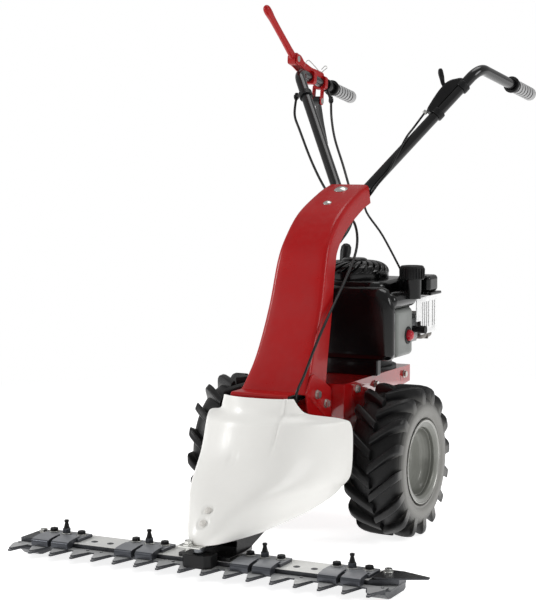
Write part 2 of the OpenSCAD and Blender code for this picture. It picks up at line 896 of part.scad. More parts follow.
module gearbox() {
  cross_w = tray_w - 2 * tray_t - 2 * seat_gap;
  color([0.5, 0.51, 0.52])
    difference() {
      union() {
        along_x([-gearbox_half, 0, axle_z])
          cylinder(r = 46, h = 2 * gearbox_half);
        translate([0, 0, axle_z])
          cylinder(r = 32, h = gearbox_top - axle_z);
        translate([-36, -36, axle_z])
          cube([72, 72, 54]);
        for (s = [-1, 1])
          along_x([s * gearbox_half - 8, 0, axle_z])
            cylinder(r = 26, h = 16);
        translate([-cross_w / 2, -34, gearbox_top - 12])
          cube([cross_w, 68, 6]);
      }
      along_x([-gearbox_half - 10, 0, axle_z])
        cylinder(r = axle_r + run_gap, h = 2 * gearbox_half + 20);
      translate([0, 0, gearbox_top - 30])
        cylinder(r = input_r + run_gap, h = 40);
      along_x([-gearbox_half - 10, select_y, select_z])
        cylinder(r = 5 + run_gap, h = 30);
    }
}

module selector_arm() {
  x = -gearbox_half - 10;
  color([0.72, 0.72, 0.68]) {
    along_x([x, select_y, select_z])
      cylinder(r = 5, h = 26);
    along_x([x - 4, select_y, select_z])
      linear_extrude(4)
        difference() {
          union() {
            circle(r = 10);
            polygon([[-9, 0], [9, 0], [6, 42], [-6, 42]]);
          }
          translate([0, 36])
            circle(r = 2.5);
        }
  }
}

// Pulley with one V groove, its middle at z = 0
module pulley(r) {
  rotate_extrude()
    polygon([
      [0, -groove_h / 2 - 2], [r + belt_t, -groove_h / 2 - 2], [r + belt_t, -groove_h / 2],
      [r - 1, -belt_w / 2 - 0.5],
      [r - 1, belt_w / 2 + 0.5], [r + belt_t, groove_h / 2], [r + belt_t, groove_h / 2 + 2],
      [0, groove_h / 2 + 2]
    ]);
}

// Outline of a loop around two circles, with n steps on each arc
function loop(a, ra, b, rb, n) = let (
  d = b - a,
  lead = acos((ra - rb) / norm(d)),
  turn = atan2(d[1], d[0])
) concat(
  [for (k = [0 : n]) let (t = turn + lead + (360 - 2 * lead) * k / n) a + ra * [cos(t), sin(t)]],
  [for (k = [0 : n]) let (t = turn - lead + 2 * lead * k / n) b + rb * [cos(t), sin(t)]]
);

// Belt around two pulleys in the plane z = 0
module belt(a, ra, b, rb) {
  outer = belt_t - 0.5;
  translate([0, 0, -belt_w / 2])
    linear_extrude(belt_w)
      difference() {
        polygon(loop(a, ra + outer, b, rb + outer, belt_steps));
        polygon(loop(a, ra, b, rb, belt_steps));
      }
}

module gearbox_pulley() {
  color([0.3, 0.3, 0.31])
    translate([gear_axis[0], gear_axis[1], 0]) {
      translate([0, 0, drive_belt_z])
        pulley(gear_pulley_r);
      translate([0, 0, gearbox_top - 28])
        cylinder(r = input_r, h = drive_belt_z - gearbox_top + 30);
    }
}

module blade_pulley() {
  color([0.3, 0.3, 0.31])
    translate([blade_axis[0], blade_axis[1], 0]) {
      translate([0, 0, blade_belt_z])
        pulley(blade_pulley_r);
      translate([0, 0, case_top + 44])
        cylinder(r = shaft_r, h = blade_belt_z - case_top - 40);
    }
}

module engine_pulley() {
  hub = drive_belt_z - 9;
  color([0.3, 0.3, 0.31])
    translate([crank[0], crank[1], 0])
      difference() {
        union() {
          for (z = [blade_belt_z, drive_belt_z])
            translate([0, 0, z])
              pulley(engine_pulley_r);
          translate([0, 0, hub])
            cylinder(r = 20, h = blade_belt_z - hub);
        }
        translate([0, 0, hub - 1])
          cylinder(r = axle_r + run_gap, h = 60);
      }
}

module blade_belt() {
  color([0.07, 0.07, 0.07])
    translate([0, 0, blade_belt_z])
      belt(crank, engine_pulley_r, blade_axis, blade_pulley_r);
}

module drive_belt() {
  color([0.07, 0.07, 0.07])
    translate([0, 0, drive_belt_z])
      belt(crank, engine_pulley_r, gear_axis, gear_pulley_r);
}

idler_at = [idler_post[0] - 4, idler_post[1] - idler_reach];
idler_arm_z = drive_belt_z + 5;
idler_pin_r = 5;

module idler_arm() {
  color([0.72, 0.72, 0.68]) {
    difference() {
      translate([0, 0, idler_arm_z])
        linear_extrude(5)
          union() {
            translate(idler_post)
              circle(r = 13);
            translate(idler_at)
              circle(r = 11);
            polygon([
              idler_post + [-9, 0], idler_post + [9, 0], idler_at + [8, 0], idler_at + [-8, 0]
            ]);
          }
      translate([idler_post[0], idler_post[1], idler_arm_z - 1])
        cylinder(r = post_r + run_gap, h = 7);
    }
    translate([idler_at[0], idler_at[1], idler_arm_z + 4])
      cylinder(r = idler_pin_r, h = 18);
  }
}

module idler_wheel() {
  color([0.2, 0.2, 0.2])
    translate([idler_at[0], idler_at[1], idler_arm_z + 5 + loose_gap])
      difference() {
        rotate_extrude()
          polygon([
            [0, 0], [idler_r + 3, 0], [idler_r + 3, 1.5], [idler_r, 3], [idler_r, 12],
            [idler_r + 3, 13.5],
            [idler_r + 3, 15], [0, 15]
          ]);
        translate([0, 0, -1])
          cylinder(r = idler_pin_r + run_gap, h = 20);
      }
}

case_mid = tray_z + 62;
case_roof = tray_z + 128;
housing_low = case_roof;
housing_high = case_roof + 78;
housing_box = [[-86, 72], [116, 262]];
housing_corner = 30;
fly_r = 70;

module crankshaft() {
  color([0.6, 0.6, 0.62])
    translate([crank[0], crank[1], drive_belt_z - 8])
      cylinder(r = axle_r, h = housing_low + 40 - drive_belt_z);
}

module flywheel() {
  color([0.55, 0.55, 0.56])
    translate([crank[0], crank[1], housing_low + 8])
      difference() {
        union() {
          cylinder(r = fly_r, h = 14);
          for (i = [0 : 13])
            rotate([0, 0, i * 360 / 14])
              translate([40, -1.5, 12])
                cube([28, 3, 20]);
          cylinder(r = 22, h = 20);
        }
        translate([0, 0, -1])
          cylinder(r = axle_r + run_gap, h = 40);
      }
}

module crankcase() {
  color([0.13, 0.13, 0.14])
    translate([crank[0], crank[1], 0])
      difference() {
        union() {
          translate([0, 0, tray_z])
            cylinder(r = 96, h = 8);
          translate([0, 0, tray_z])
            cylinder(r = 86, h = case_mid - tray_z);
          translate([0, 0, tray_z])
            cylinder(r = 74, h = case_roof - tray_z);
          translate([-100, -24, tray_z + 10])
            cube([60, 48, 40]);
          translate([20, -8, tray_z + 60])
            cube([cylinder_x - crank[0] - 20, 60, 66]);
        }
        translate([0, 0, tray_z + 14])
          cylinder(r = 64, h = case_roof);
        translate([0, 0, tray_z - 1])
          cylinder(r = axle_r + run_gap, h = 40);
      }
}

cylinder_x = 96;
cylinder_y = [178, 236];
cylinder_z = [tray_z + 60, tray_z + 124];

module cylinder_block() {
  size = [cylinder_y[1] - cylinder_y[0], cylinder_z[1] - cylinder_z[0]];
  pitch = 42 / fin_count;
  translate([cylinder_x, cylinder_y[0] + 8, cylinder_z[0] + 8])
    cube([44, size[0] - 16, size[1] - 16]);
  for (i = [0 : fin_count - 1])
    translate([cylinder_x + i * pitch, cylinder_y[0], cylinder_z[0]])
      cube([pitch * 0.45, size[0], size[1]]);
}

module engine_cylinder() color([0.62, 0.63, 0.64]) cylinder_block();

plug_y = 200;
plug_z = tray_z + 90;

module spark_plug() {
  color([0.07, 0.07, 0.07])
    along_x([cylinder_x + 44, plug_y, plug_z]) {
      cylinder(r = 8, h = 6, $fn = 6);
      translate([0, 0, 6])
        cylinder(r = 7, h = 10);
      translate([0, 0, 14])
        cylinder(r = 9, h = 18);
    }
}

// Outline of the blower housing around the flywheel, drawn in by an inset
module housing_outline(inset) {
  low = housing_box[0] + [inset, inset];
  size = housing_box[1] - housing_box[0] - 2 * [inset, inset];
  r = housing_corner - inset;
  translate(low + [r, 0])
    square([size[0] - 2 * r, size[1]]);
  translate(low + [0, r])
    square([size[0], size[1] - 2 * r]);
  for (x = [r, size[0] - r], y = [r, size[1] - r])
    translate(low + [x, y])
      circle(r = r);
}

// Cover over the cylinder head beside the housing, with its lower flange
module head_cover() {
  x = [housing_box[1][0] - 12, housing_box[1][0] + 68];
  y = [190, 246];
  z = [housing_high - 30, housing_high + 8];
  edge = 8;
  along_x([x[0], 0, 0])
    linear_extrude(x[1] - x[0])
      polygon([
        [-z[0], y[0]], [-z[0], y[1]], [edge - z[1], y[1]], [-z[1], y[1] - edge],
        [-z[1], y[0] + edge], [edge - z[1], y[0]]
      ]);
  translate([x[0], y[0] - 4, z[0] - 6])
    cube([x[1] - x[0] + 6, y[1] - y[0] + 8, 6.5]);
}

module blower_housing() {
  wall = 3;
  color([0.09, 0.09, 0.1])
    difference() {
      union() {
        translate([0, 0, housing_low])
          linear_extrude(housing_high - housing_low)
            housing_outline(0);
        head_cover();
      }
      translate([0, 0, housing_low + wall])
        linear_extrude(housing_high - housing_low - 2 * wall)
          housing_outline(wall);
      translate([crank[0], crank[1], housing_low - 1])
        cylinder(r = 66, h = wall + 2);
      translate([crank[0], crank[1], housing_high - 10])
        cylinder(r = dome_r - 12, h = 20);
      aim([grip_at[0], grip_at[1], housing_high - 8], pull_dir)
        cylinder(r = rope_r + 0.3, h = 20);
    }
}

module starter_dome() {
  rise = dome_z - housing_high;
  skin = concat(
    [[dome_r, 0], [dome_r, rise * 0.3]],
    [for (a = [15 : 15 : 75]) [dome_r - 24 + 24 * cos(a), rise * 0.3 + rise * 0.55 * sin(a)]],
    [[30, rise * 0.86], [26, rise], [0, rise]]
  );
  color([0.09, 0.09, 0.1])
    translate([crank[0], crank[1], housing_high])
      difference() {
        rotate_extrude()
          polygon(concat(skin, [[0, rise - 3], [24, rise - 3], [28, rise * 0.86 - 3]],
            [for (a = [75 : -15 : 15]) [dome_r - 24 + 20.5 * cos(a), rise * 0.3 + (rise * 0.55 - 3) * sin(a)]],
            [[dome_r - 3.5, rise * 0.3], [dome_r - 3.5, 0]]));
        for (i = [0 : louvre_count - 1])
          rotate([0, 0, i * 360 / louvre_count])
            translate([dome_r - 38, 0, rise * 0.5])
              rotate([0, 0, 28])
                cube([34, 4, rise]);
      }
}

grip_at = [-56, 236];
rope_r = 2.2;
pull_dir = unit([0, 0.35, 0.94]);

module starter_rope() {
  color([0.85, 0.85, 0.82])
    aim([grip_at[0], grip_at[1], housing_high - 8], pull_dir)
      cylinder(r = rope_r, h = 20 + seat_gap);
}

module starter_grip() {
  color([0.08, 0.08, 0.08])
    aim([grip_at[0], grip_at[1], housing_high - 8] + (20 + seat_gap) * pull_dir, pull_dir)
      rotate_extrude()
        polygon([[0, 0], [7, 0], [10, 6], [11, 24], [13, 44], [12, 56], [8, 62], [3, 64], [0, 64]]);
}

tank_x = [-40, tank_w - 40];
tank_y = [36, 70];
tank_z = [tray_z + 34, tray_z + 196];
tank_round = [11, 22, 14, 11];
tank_end_r = 10;
neck = [tank_x[1] + 1, 152];
neck_r = 21;
neck_top = tray_z + 216;

// Upright section of the fuel tank at x, drawn in by an inset, from its upper rear corner
function tank_ring(x, inset) = let (
  way = [[1, 1], [-1, 1], [-1, -1], [1, -1]],
  corner = [[tank_y[1], tank_z[1]], [tank_y[0], tank_z[1]], [tank_y[0], tank_z[0]],
  [tank_y[1], tank_z[0]]]
) [
  for (i = [0 : 3], a = [0 : 22.5 : 90])
    let (r = tank_round[i], mid = corner[i] - r * way[i], k = r - inset)
      [x, mid[0] + k * cos(a + 90 * i), mid[1] + k * sin(a + 90 * i)]
];

// Body of the fuel tank with round ends, drawn in by a wall
module tank_body(wall) {
  r = tank_end_r - wall;
  loft(concat(
    [for (a = [0 : 30 : 90]) tank_ring(tank_x[0] + wall + r * (1 - cos(a)), wall + r * (1 - sin(a)))],
    [for (a = [90 : -30 : 0]) tank_ring(tank_x[1] - wall - r * (1 - cos(a)), wall + r * (1 - sin(a)))]
  ));
}

// Round ended barrel along Y
module barrel(p, length, r) {
  translate(p)
    rotate([-90, 0, 0])
      rotate_extrude()
        polygon([
          [0, 0], [0.6 * r, 0.1 * r], [0.88 * r, 0.35 * r], [r, 0.7 * r], [r, length - 0.7 * r],
          [0.88 * r, length - 0.35 * r], [0.6 * r, length - 0.1 * r], [0, length]
        ]);
}

module fuel_tank() {
  wall = 3;
  arm_r = 19;
  arm_at = [neck[0] - 16, tank_y[0] + 10, tray_z + 165];
  arm_len_y = neck[1] + 32 - arm_at[1];
  color([0.06, 0.06, 0.065])
    difference() {
      union() {
        tank_body(0);
        barrel(arm_at, arm_len_y, arm_r);
        translate([neck[0], neck[1], arm_at[2]])
          cylinder(r = neck_r, h = neck_top - arm_at[2]);
        translate([tank_x[0] + 24, tank_y[0] + 8, tray_z])
          cube([tank_w - 60, 20, tank_z[0] - tray_z + 2]);
      }
      tank_body(wall);
      barrel(arm_at + [0, wall, 0], arm_len_y - 2 * wall, arm_r - wall);
      translate([neck[0], neck[1], arm_at[2]])
        cylinder(r = neck_r - 4, h = neck_top);
    }
}

module fuel_cap() {
  cap_r = cap_d / 2;
  drop = 8;
  rise = 23;
  color([0.07, 0.07, 0.07])
    translate([neck[0], neck[1], neck_top]) {
      difference() {
        union() {
          translate([0, 0, -drop])
            cylinder(r = cap_r - 2, h = drop + rise);
          for (i = [0 : 23])
            rotate([0, 0, i * 15])
              translate([cap_r - 4, -1.5, 2 - drop])
                cube([4, 3, drop + rise - 5]);
        }
        translate([0, 0, -drop - 1])
          cylinder(r = neck_r + loose_gap, h = drop + 1 + seat_gap);
      }
    }
}

cleaner_low = [housing_box[1][0] + 2, tank_y[1] + 14, tray_z + 36];
cleaner_high = [150, cylinder_y[0], tray_z + 144];
primer = [150, 147, tray_z + 82];

module air_cleaner() {
  color([0.42, 0.43, 0.45])
    difference() {
      union() {
        soft_box(cleaner_low, cleaner_high, 9);
        along_x([primer[0] - 4, primer[1], primer[2]])
          cylinder(r = 18, h = 9);
      }
      along_x([primer[0] - 14, primer[1], primer[2]])
        cylinder(r = 13, h = 40);
    }
}

module primer_bulb() {
  color([0.75, 0.1, 0.08])
    along_x([primer[0] - 3, primer[1], primer[2]])
      rotate_extrude()
        polygon([[0, 0], [12.6, 0], [12.6, 8], [11, 12], [7.5, 15], [3, 16.3], [0, 16.3]]);
}

muffler_y = [242, 304];
muffler_z = [tray_z + 62, tray_z + 122];

module muffler() {
  color([0.32, 0.31, 0.3]) {
    difference() {
      soft_box([90, muffler_y[0], muffler_z[0]], [148, muffler_y[1], muffler_z[1]], 8);
      soft_box([92, muffler_y[0] + 2, muffler_z[0] + 2], [146, muffler_y[1] - 2, muffler_z[1] - 2], 6);
      translate([120, muffler_y[1] - 8, muffler_z[0] + 16])
        rotate([-90, 0, 0])
          cylinder(r = 8, h = 20);
    }
    translate([106, cylinder_y[1], tray_z + 84])
      cube([20, muffler_y[0] - cylinder_y[1] + 1, 20]);
  }
}

module muffler_guard() {
  x = 152;
  t = 2.5;
  span_y = [188, muffler_y[1] + 4.5];
  span_z = [tray_z + 76, tray_z + 162];
  notch = [214, tray_z + 108];
  color([0.88, 0.88, 0.88])
    difference() {
      union() {
        along_x([x, 0, 0])
          linear_extrude(t)
            polygon([
              [-notch[1], span_y[0]], [-span_z[1], span_y[0]], [-span_z[1], span_y[1]],
              [-span_z[0], span_y[1]],
              [-span_z[0], notch[0]], [-notch[1], notch[0]]
            ]);
        translate([x - 42, span_y[1] - t, span_z[0]])
          cube([44.5, t, span_z[1] - span_z[0]]);
        translate([x - 25, span_y[0], span_z[1] - t])
          cube([27.5, span_y[1] - span_y[0], t]);
        for (z = [tray_z + 90, tray_z + 108])
          along_x([148, 273, z])
            cylinder(r = 4, h = 5);
      }
      for (i = [0 : 6])
        if (i != 4)
          translate([x - 4, 222 + i * 12, tray_z + 92])
            cube([10, 5, 58]);
      for (i = [0 : 8])
        translate([x - 20, 198 + i * 12, span_z[1] - 6])
          cube([16, 5, 10]);
    }
}

boss_x = crank[0] - 100;
filler = [boss_x - 12, crank[1]];
filler_top = tray_z + 176;

module oil_filler() {
  color([0.1, 0.1, 0.1])
    difference() {
      union() {
        along_x([filler[0], filler[1], tray_z + 30])
          cylinder(r = 9, h = boss_x - filler[0]);
        translate([filler[0] - 2, filler[1], tray_z + 21])
          cylinder(r = 9, h = filler_top - tray_z - 21);
      }
      translate([filler[0] - 2, filler[1], tray_z + 26])
        cylinder(r = 6, h = filler_top);
    }
}

module oil_cap() {
  color([0.09, 0.09, 0.09])
    translate([filler[0] - 2, filler[1], filler_top + seat_gap]) {
      cylinder(r = 14, h = 14);
      translate([-3, -14, 12])
        cube([6, 28, 12]);
      translate([0, 0, -90])
        cylinder(r = 3, h = 92);
    }
}

handle_r = handle_d / 2;
grip_half = handle_span / 2;
handle_points = [
  [32, 84, 713], [32, 166, 738], [grip_half - 12, 367, handle_z], [grip_half, grip_rear, handle_z - 50]
];
function mirrored(p) = [-p[0], p[1], p[2]];
function both(s) = s > 0 ? handle_points : [for (p = handle_points) mirrored(p)];
function rear_dir(s) = unit(both(s)[3] - both(s)[2]);
function climb_dir(s) = unit(both(s)[2] - both(s)[1]);

handle_bend = 52;

module handle_tubes() {
  color([0.06, 0.06, 0.06])
    for (s = [-1, 1]) {
      path = bent_path(both(s), handle_bend, 7);
      tube(path, handle_r, handle_wall, 18);
    }
}

clamp_dir = unit(handle_points[1] - handle_points[0]);
saddle_t = 6.7;
clamp_reach = handle_r + saddle_t + 1;

// Clamp plate below the tubes, saddle between the tubes and the column, and the bolt through both
module handle_clamp() {
  mid = (handle_points[0] + handle_points[1]) / 2;
  color([0.72, 0.72, 0.68])
    translate([0, mid[1], mid[2]])
      rotate([atan2(clamp_dir[2], clamp_dir[1]), 0, 0]) {
        translate([-44, -30, -handle_r - 4])
          cube([88, 56, 4]);
        translate([-38, -24, handle_r + seat_gap])
          cube([76, 48, saddle_t]);
        translate([0, 0, -handle_r - 3])
          cylinder(d = 8, h = handle_r + 3 + clamp_reach);
        translate([0, 0, -handle_r - 4])
          rotate([180, 0, 0])
            hex_bolt(8);
      }
}

module grips() {
  rib = 12;
  collar = 9;
  end_wall = 4;
  inner = handle_r + run_gap;
  ribs = [for (i = [0 : rib - 1], k = [0 : 3])
    let (z = 22 + (i + k / 4) * (grip_len - 30) / rib)
      [grip_d / 2 - (k == 0 || k == 3 ? 1.4 : 0), z]];
  color([0.35, 0.36, 0.38])
    for (s = [-1, 1])
      aim(both(s)[3] + (end_wall - grip_len) * rear_dir(s), rear_dir(s))
        rotate_extrude()
          polygon(concat(
            [[inner, 0], [grip_d / 2 + 3, 0], [grip_d / 2 + 4, collar / 2], [grip_d / 2 + 3, collar],
              [grip_d / 2, collar + 4]],
            ribs,
            [[grip_d / 2, grip_len - 6], [grip_d / 2 - 5, grip_len], [0, grip_len],
            [0, grip_len - end_wall + 0.1],
              [inner, grip_len - end_wall + 0.1]]
          ));
}

lever_x = -grip_half + 2;
lever_pivot = [lever_x, 366, handle_z + 32];
lever_angle = 143;
lever_pin_r = 5;
drive_pivot = [lever_x, 498, handle_z - 66];

// Red lever with a hub and a flat handle, drawn in the plane of its swing
module blade_lever() {
  tip = lever_len * [cos(lever_angle), sin(lever_angle)];
  along = [cos(lever_angle), sin(lever_angle)];
  across = [-along[1], along[0]];
  color([0.8, 0.09, 0.08])
    translate(lever_pivot)
      rotate([90, 0, 90])
        difference() {
          union() {
            translate([0, 0, -9])
              cylinder(r = 15, h = 18);
            translate([0, 0, -6])
              linear_extrude(12)
                polygon([
                  11 * across, 7 * across + 0.55 * tip, 11 * across + 0.9 * tip, 6 * across + tip,
                  -6 * across + tip, -11 * across + 0.9 * tip, -7 * across + 0.55 * tip, -11 * across
                ]);
            translate([0, 0, -6])
              linear_extrude(12)
                polygon([[0, -13], [0, 13], [16, 11], [21, 4], [16, -6]]);
          }
          translate([0, 0, -10])
            cylinder(r = lever_pin_r + run_gap, h = 20);
          translate([15, 3, -10])
            cylinder(r = 2.5, h = 20);
        }
}

// Clamp on the tube with cheeks that carry both levers
module lever_mount() {
  s = -1;
  rear = rear_dir(s);
  front_at = both(s)[2] + 62 * rear;
  back_at = both(s)[2] + 132 * rear;
  cheek_x = [lever_x - 13, lever_x + 9.5];
  color([0.75, 0.12, 0.1]) {
    difference() {
      union() {
        for (p = [front_at, back_at])
          aim(p, rear)
            translate([-handle_r - 4, -handle_r - 4, 0])
              cube([2 * handle_r + 8, 2 * handle_r + 8, 16]);
        for (x = cheek_x)
          along_x([x, 0, 0])
            linear_extrude(3.5)
              polygon([
                [-lever_pivot[2] - 12, lever_pivot[1] - 12], [-lever_pivot[2] - 12, lever_pivot[1] + 12],
                [-front_at[2] - 18, back_at[1] + 12], [-back_at[2] - 4, back_at[1] + 12],
                [-front_at[2] - 4, front_at[1] + 6], [-lever_pivot[2] + 12, lever_pivot[1] - 12]
              ]);
        for (x = cheek_x)
          along_x([x, 0, 0])
            linear_extrude(3.5)
              polygon([
                [-back_at[2] + 8, back_at[1] - 4], [-back_at[2] + 8, back_at[1] + 18],
                [-drive_pivot[2] + 12, drive_pivot[1] + 12], [-drive_pivot[2] + 12, drive_pivot[1] - 12]
              ]);
      }
      aim(front_at - 62 * rear, rear)
        cylinder(r = handle_r + run_gap, h = 190);
    }
    for (p = [lever_pivot, drive_pivot])
      along_x([lever_x - 12, p[1], p[2]])
        cylinder(r = lever_pin_r, h = 24);
  }
}

module drive_lever() {
  reach = 118;
  lean = 22;
  color([0.12, 0.12, 0.12])
    translate(drive_pivot)
      rotate([lean, 0, 0])
        rotate([90, 0, 90])
          difference() {
            union() {
              translate([0, 0, -8])
                cylinder(r = 12, h = 16);
              translate([0, 0, -4])
                linear_extrude(8)
                  polygon([[-10, 0], [10, 0], [7, -0.5 * reach], [9, -reach], [2, -reach - 4],
                  [-7, -0.5 * reach]]);
            }
            translate([0, 0, -9])
              cylinder(r = lever_pin_r + run_gap, h = 18);
          }
}

throttle_at = lerp(handle_points[1], handle_points[2], 0.74);
throttle_len = 112;
throttle_z = climb_dir(1);
throttle_y = unit(cross(throttle_z, [-0.8, -0.3, 0.4]));
throttle_x = cross(throttle_y, throttle_z);

// Frame of the throttle: Z along the tube, X away from it
module throttle_frame() {
  x = throttle_x;
  y = throttle_y;
  z = throttle_z;
  multmatrix([
    [x[0], y[0], z[0], throttle_at[0]],
    [x[1], y[1], z[1], throttle_at[1]],
    [x[2], y[2], z[2], throttle_at[2]]
  ])
    children();
}

throttle_hub = [handle_r + 16, 0, 16];
throttle_pin_r = 2;

module throttle_body() {
  color([0.05, 0.05, 0.05])
    throttle_frame()
      difference() {
        union() {
          translate([handle_r - 4, -11, -throttle_len / 2])
            cube([24, 22, throttle_len]);
          for (z = [-throttle_len / 2 + 4, throttle_len / 2 - 20])
            translate([0, 0, z])
              cylinder(r = handle_r + 4, h = 16);
        }
        translate([0, 0, -throttle_len])
          cylinder(r = handle_r + run_gap, h = 2 * throttle_len);
        translate([handle_r + 8, -3.5, -4])
          cube([30, 7, throttle_len / 2 - 4]);
      }
  color([0.05, 0.05, 0.05])
    throttle_frame()
      translate(throttle_hub)
        rotate([90, 0, 0])
          cylinder(r = throttle_pin_r, h = 18, center = true);
}

module throttle_lever() {
  color([0.12, 0.12, 0.12])
    throttle_frame()
      translate(throttle_hub)
        rotate([90, 0, 0])
          translate([0, 0, -2.6])
            difference() {
              union() {
                cylinder(r = 7, h = 5.2);
                linear_extrude(5.2)
                  polygon([[0, -6], [0, 6], [12, 8], [34, 26], [38, 20], [16, -2]]);
              }
              translate([0, 0, -1])
                cylinder(r = throttle_pin_r + run_gap, h = 8);
            }
}

cable_r = 3;
stop_gap = 0.2;
blade_start = [lever_x + 12, lever_pivot[1] - 14, handle_z - 65];
drive_start = [lever_x + 38, drive_pivot[1] - 2, handle_z - 71];
throttle_start = throttle_at + (handle_r + 10) * throttle_x - (throttle_len / 2 + stop_gap) * throttle_z;

// Point beside the right handle tube, turned around it by an angle, where the throttle cable is tied on
function tied(t, a) = lerp(handle_points[1], handle_points[2], t)
  + (handle_r + cable_r + 2.5) * (cos(a) * throttle_x + sin(a) * throttle_y);

// Straight length of a cable at a seat
end_run = 6;
blade_seat = [60, -196, gusset_low + 22 + stop_gap];
drive_seat = [-78, -24, gearbox_top - 6 + stop_gap];
throttle_seat = [98, 240, housing_high + stop_gap];
blade_route = [
  blade_start, blade_start + [12, -32, -40], [-196, 300, 880], [-140, 250, 806],
  [-84, 204, 746], [-30, 172, 700],
  [20, 140, 670], [46, 96, 618], [64, 0, 556], [74, -104, 490], [76, -176, 430], [76, -232, 372],
  [73, -262, 338], [66, -246, 308], blade_seat + [0, 0, end_run]
];
drive_route = [
  drive_start, drive_start + [12, -22, -40], [-150, 400, 860], [-84, 310, 790],
  [-34, 244, 720], [-10, 190, 668],
  [-6, 120, 628], [-14, 30, 580], [-34, -36, 480], [drive_cable_x, drive_cable_y, 390],
  [drive_cable_x, drive_cable_y, 326], drive_seat + [1, -8, 30], drive_seat + [0, 0, end_run]
];
throttle_route = [
  throttle_start - end_run * throttle_z, tied(0.48, 0), tied(0.4, 40), tied(0.3, 80), tied(0.18, 120),
  tied(0.04, 140), [56, 196, 690], [78, 216, 630], throttle_seat + [0, 0, end_run]
];
blade_path = concat(curve(blade_route, 3), [blade_seat]);
drive_path = concat(curve(drive_route, 3), [drive_seat]);
throttle_path = concat([throttle_start], curve(throttle_route, 3), [throttle_seat]);

// Round stop with an adjusting nut at the upper end of a cable
module cable_stop(p, d) {
  aim(p + stop_gap * d, d) {
    cylinder(r = 5, h = 16);
    translate([0, 0, 4])
      cylinder(r = 7, h = 6, $fn = 6);
  }
}

// Clamp around a handle tube at p with a stay to a cable stop
module stop_clamp(p, d, stop) {
  stay = stop - p;
  difference() {
    union() {
      aim(p - 7 * d, d)
        cylinder(r = handle_r + 4, h = 14);
      aim(p, stay)
        cylinder(r = 4, h = norm(stay));
    }
    aim(p - 20 * d, d)
      cylinder(r = handle_r + run_gap, h = 40);
  }
}

module cable_stops() {
  blade_dir = -heading(blade_path, 0);
  drive_dir = -heading(drive_path, 0);
  color([0.08, 0.08, 0.08]) {
    cable_stop(blade_start, blade_dir);
    stop_clamp(lerp(both(-1)[1], both(-1)[2], 0.8), climb_dir(-1), blade_start + 9 * blade_dir);
    cable_stop(drive_start, drive_dir);
    stop_clamp(lerp(both(-1)[2], both(-1)[3], 0.505), rear_dir(-1), drive_start + 9 * drive_dir);
  }
}

module cables() {
  color([0.05, 0.05, 0.05]) {
    cord(blade_path, cable_r, 8);
    cord(drive_path, cable_r, 8);
    cord(throttle_path, cable_r - 0.5, 8);
  }
}

place() {
  tray();
  column();
  frame_bolts();
  gear_case();
  bar_flange();
  nose_bracket();
  front_guard();
  guard_bolts();
  cutter_bar();
  comb();
  bar_bolts();
  knife();
  knife_head();
  knife_clips();
  clip_bolts();
  end_shoes();
  swing_arm();
  axle();
  axle_bushes();
  wheel_pins();
  rim_left();
  rim_right();
  tyre_left();
  tyre_right();
  gearbox();
  gearbox_pulley();
  selector_arm();
  blade_pulley();
  blade_belt();
  drive_belt();
  idler_arm();
  idler_wheel();
  crankshaft();
  engine_pulley();
  flywheel();
  crankcase();
  engine_cylinder();
  spark_plug();
  blower_housing();
  starter_dome();
  starter_rope();
  starter_grip();
  fuel_tank();
  fuel_cap();
  air_cleaner();
  primer_bulb();
  muffler();
  muffler_guard();
  oil_filler();
  oil_cap();
  handle_tubes();
  handle_clamp();
  grips();
  blade_lever();
  lever_mount();
  drive_lever();
  throttle_body();
  throttle_lever();
  cable_stops();
  cables();
}
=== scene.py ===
"""Looks of a walk-behind sickle bar mower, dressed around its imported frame.

Sizes are written in millimetres from the ground under the axle, as on a drawing, and `drawn` turns
them into the frame's metres. Each class is one sub-assembly and leaves its pieces where the frame has them.
"""
import json
import logging
import math
from abc import ABC, abstractmethod
from collections.abc import Callable, Iterable, Sequence
from dataclasses import dataclass
from enum import Enum

import bmesh
import bpy
from mathutils import Matrix, Vector


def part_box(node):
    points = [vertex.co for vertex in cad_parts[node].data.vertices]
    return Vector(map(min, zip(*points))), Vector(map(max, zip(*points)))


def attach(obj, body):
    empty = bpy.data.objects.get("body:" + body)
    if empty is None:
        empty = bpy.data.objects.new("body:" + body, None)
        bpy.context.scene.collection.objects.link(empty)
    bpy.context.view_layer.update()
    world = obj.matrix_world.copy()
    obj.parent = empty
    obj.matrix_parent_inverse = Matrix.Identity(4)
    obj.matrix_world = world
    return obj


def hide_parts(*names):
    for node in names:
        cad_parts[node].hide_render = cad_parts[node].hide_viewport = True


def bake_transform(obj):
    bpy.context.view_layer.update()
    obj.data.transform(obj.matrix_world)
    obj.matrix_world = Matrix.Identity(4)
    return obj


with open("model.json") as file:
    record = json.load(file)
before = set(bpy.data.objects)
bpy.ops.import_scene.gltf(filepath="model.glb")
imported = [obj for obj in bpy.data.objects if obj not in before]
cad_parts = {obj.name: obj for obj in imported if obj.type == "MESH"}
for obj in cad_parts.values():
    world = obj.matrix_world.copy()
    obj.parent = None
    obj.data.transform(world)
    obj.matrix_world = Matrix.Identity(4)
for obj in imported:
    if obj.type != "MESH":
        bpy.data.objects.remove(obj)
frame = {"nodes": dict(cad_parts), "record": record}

LOG = logging.getLogger("mower")
MM = 0.001
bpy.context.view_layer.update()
MERGE = 2e-6
SHARP = 38.0
SOFT = 50.0
UPWARD = 0.8
FLAT = 0.4
CORNER_SHARE = 0.45
LEAST_ROUGHNESS = 0.03
COAT_ROUGHNESS = 0.06
DUST = (196, 190, 180)
TO_LEFT = Vector((1, 0, 0))
TO_BACK = Vector((0, 1, 0))

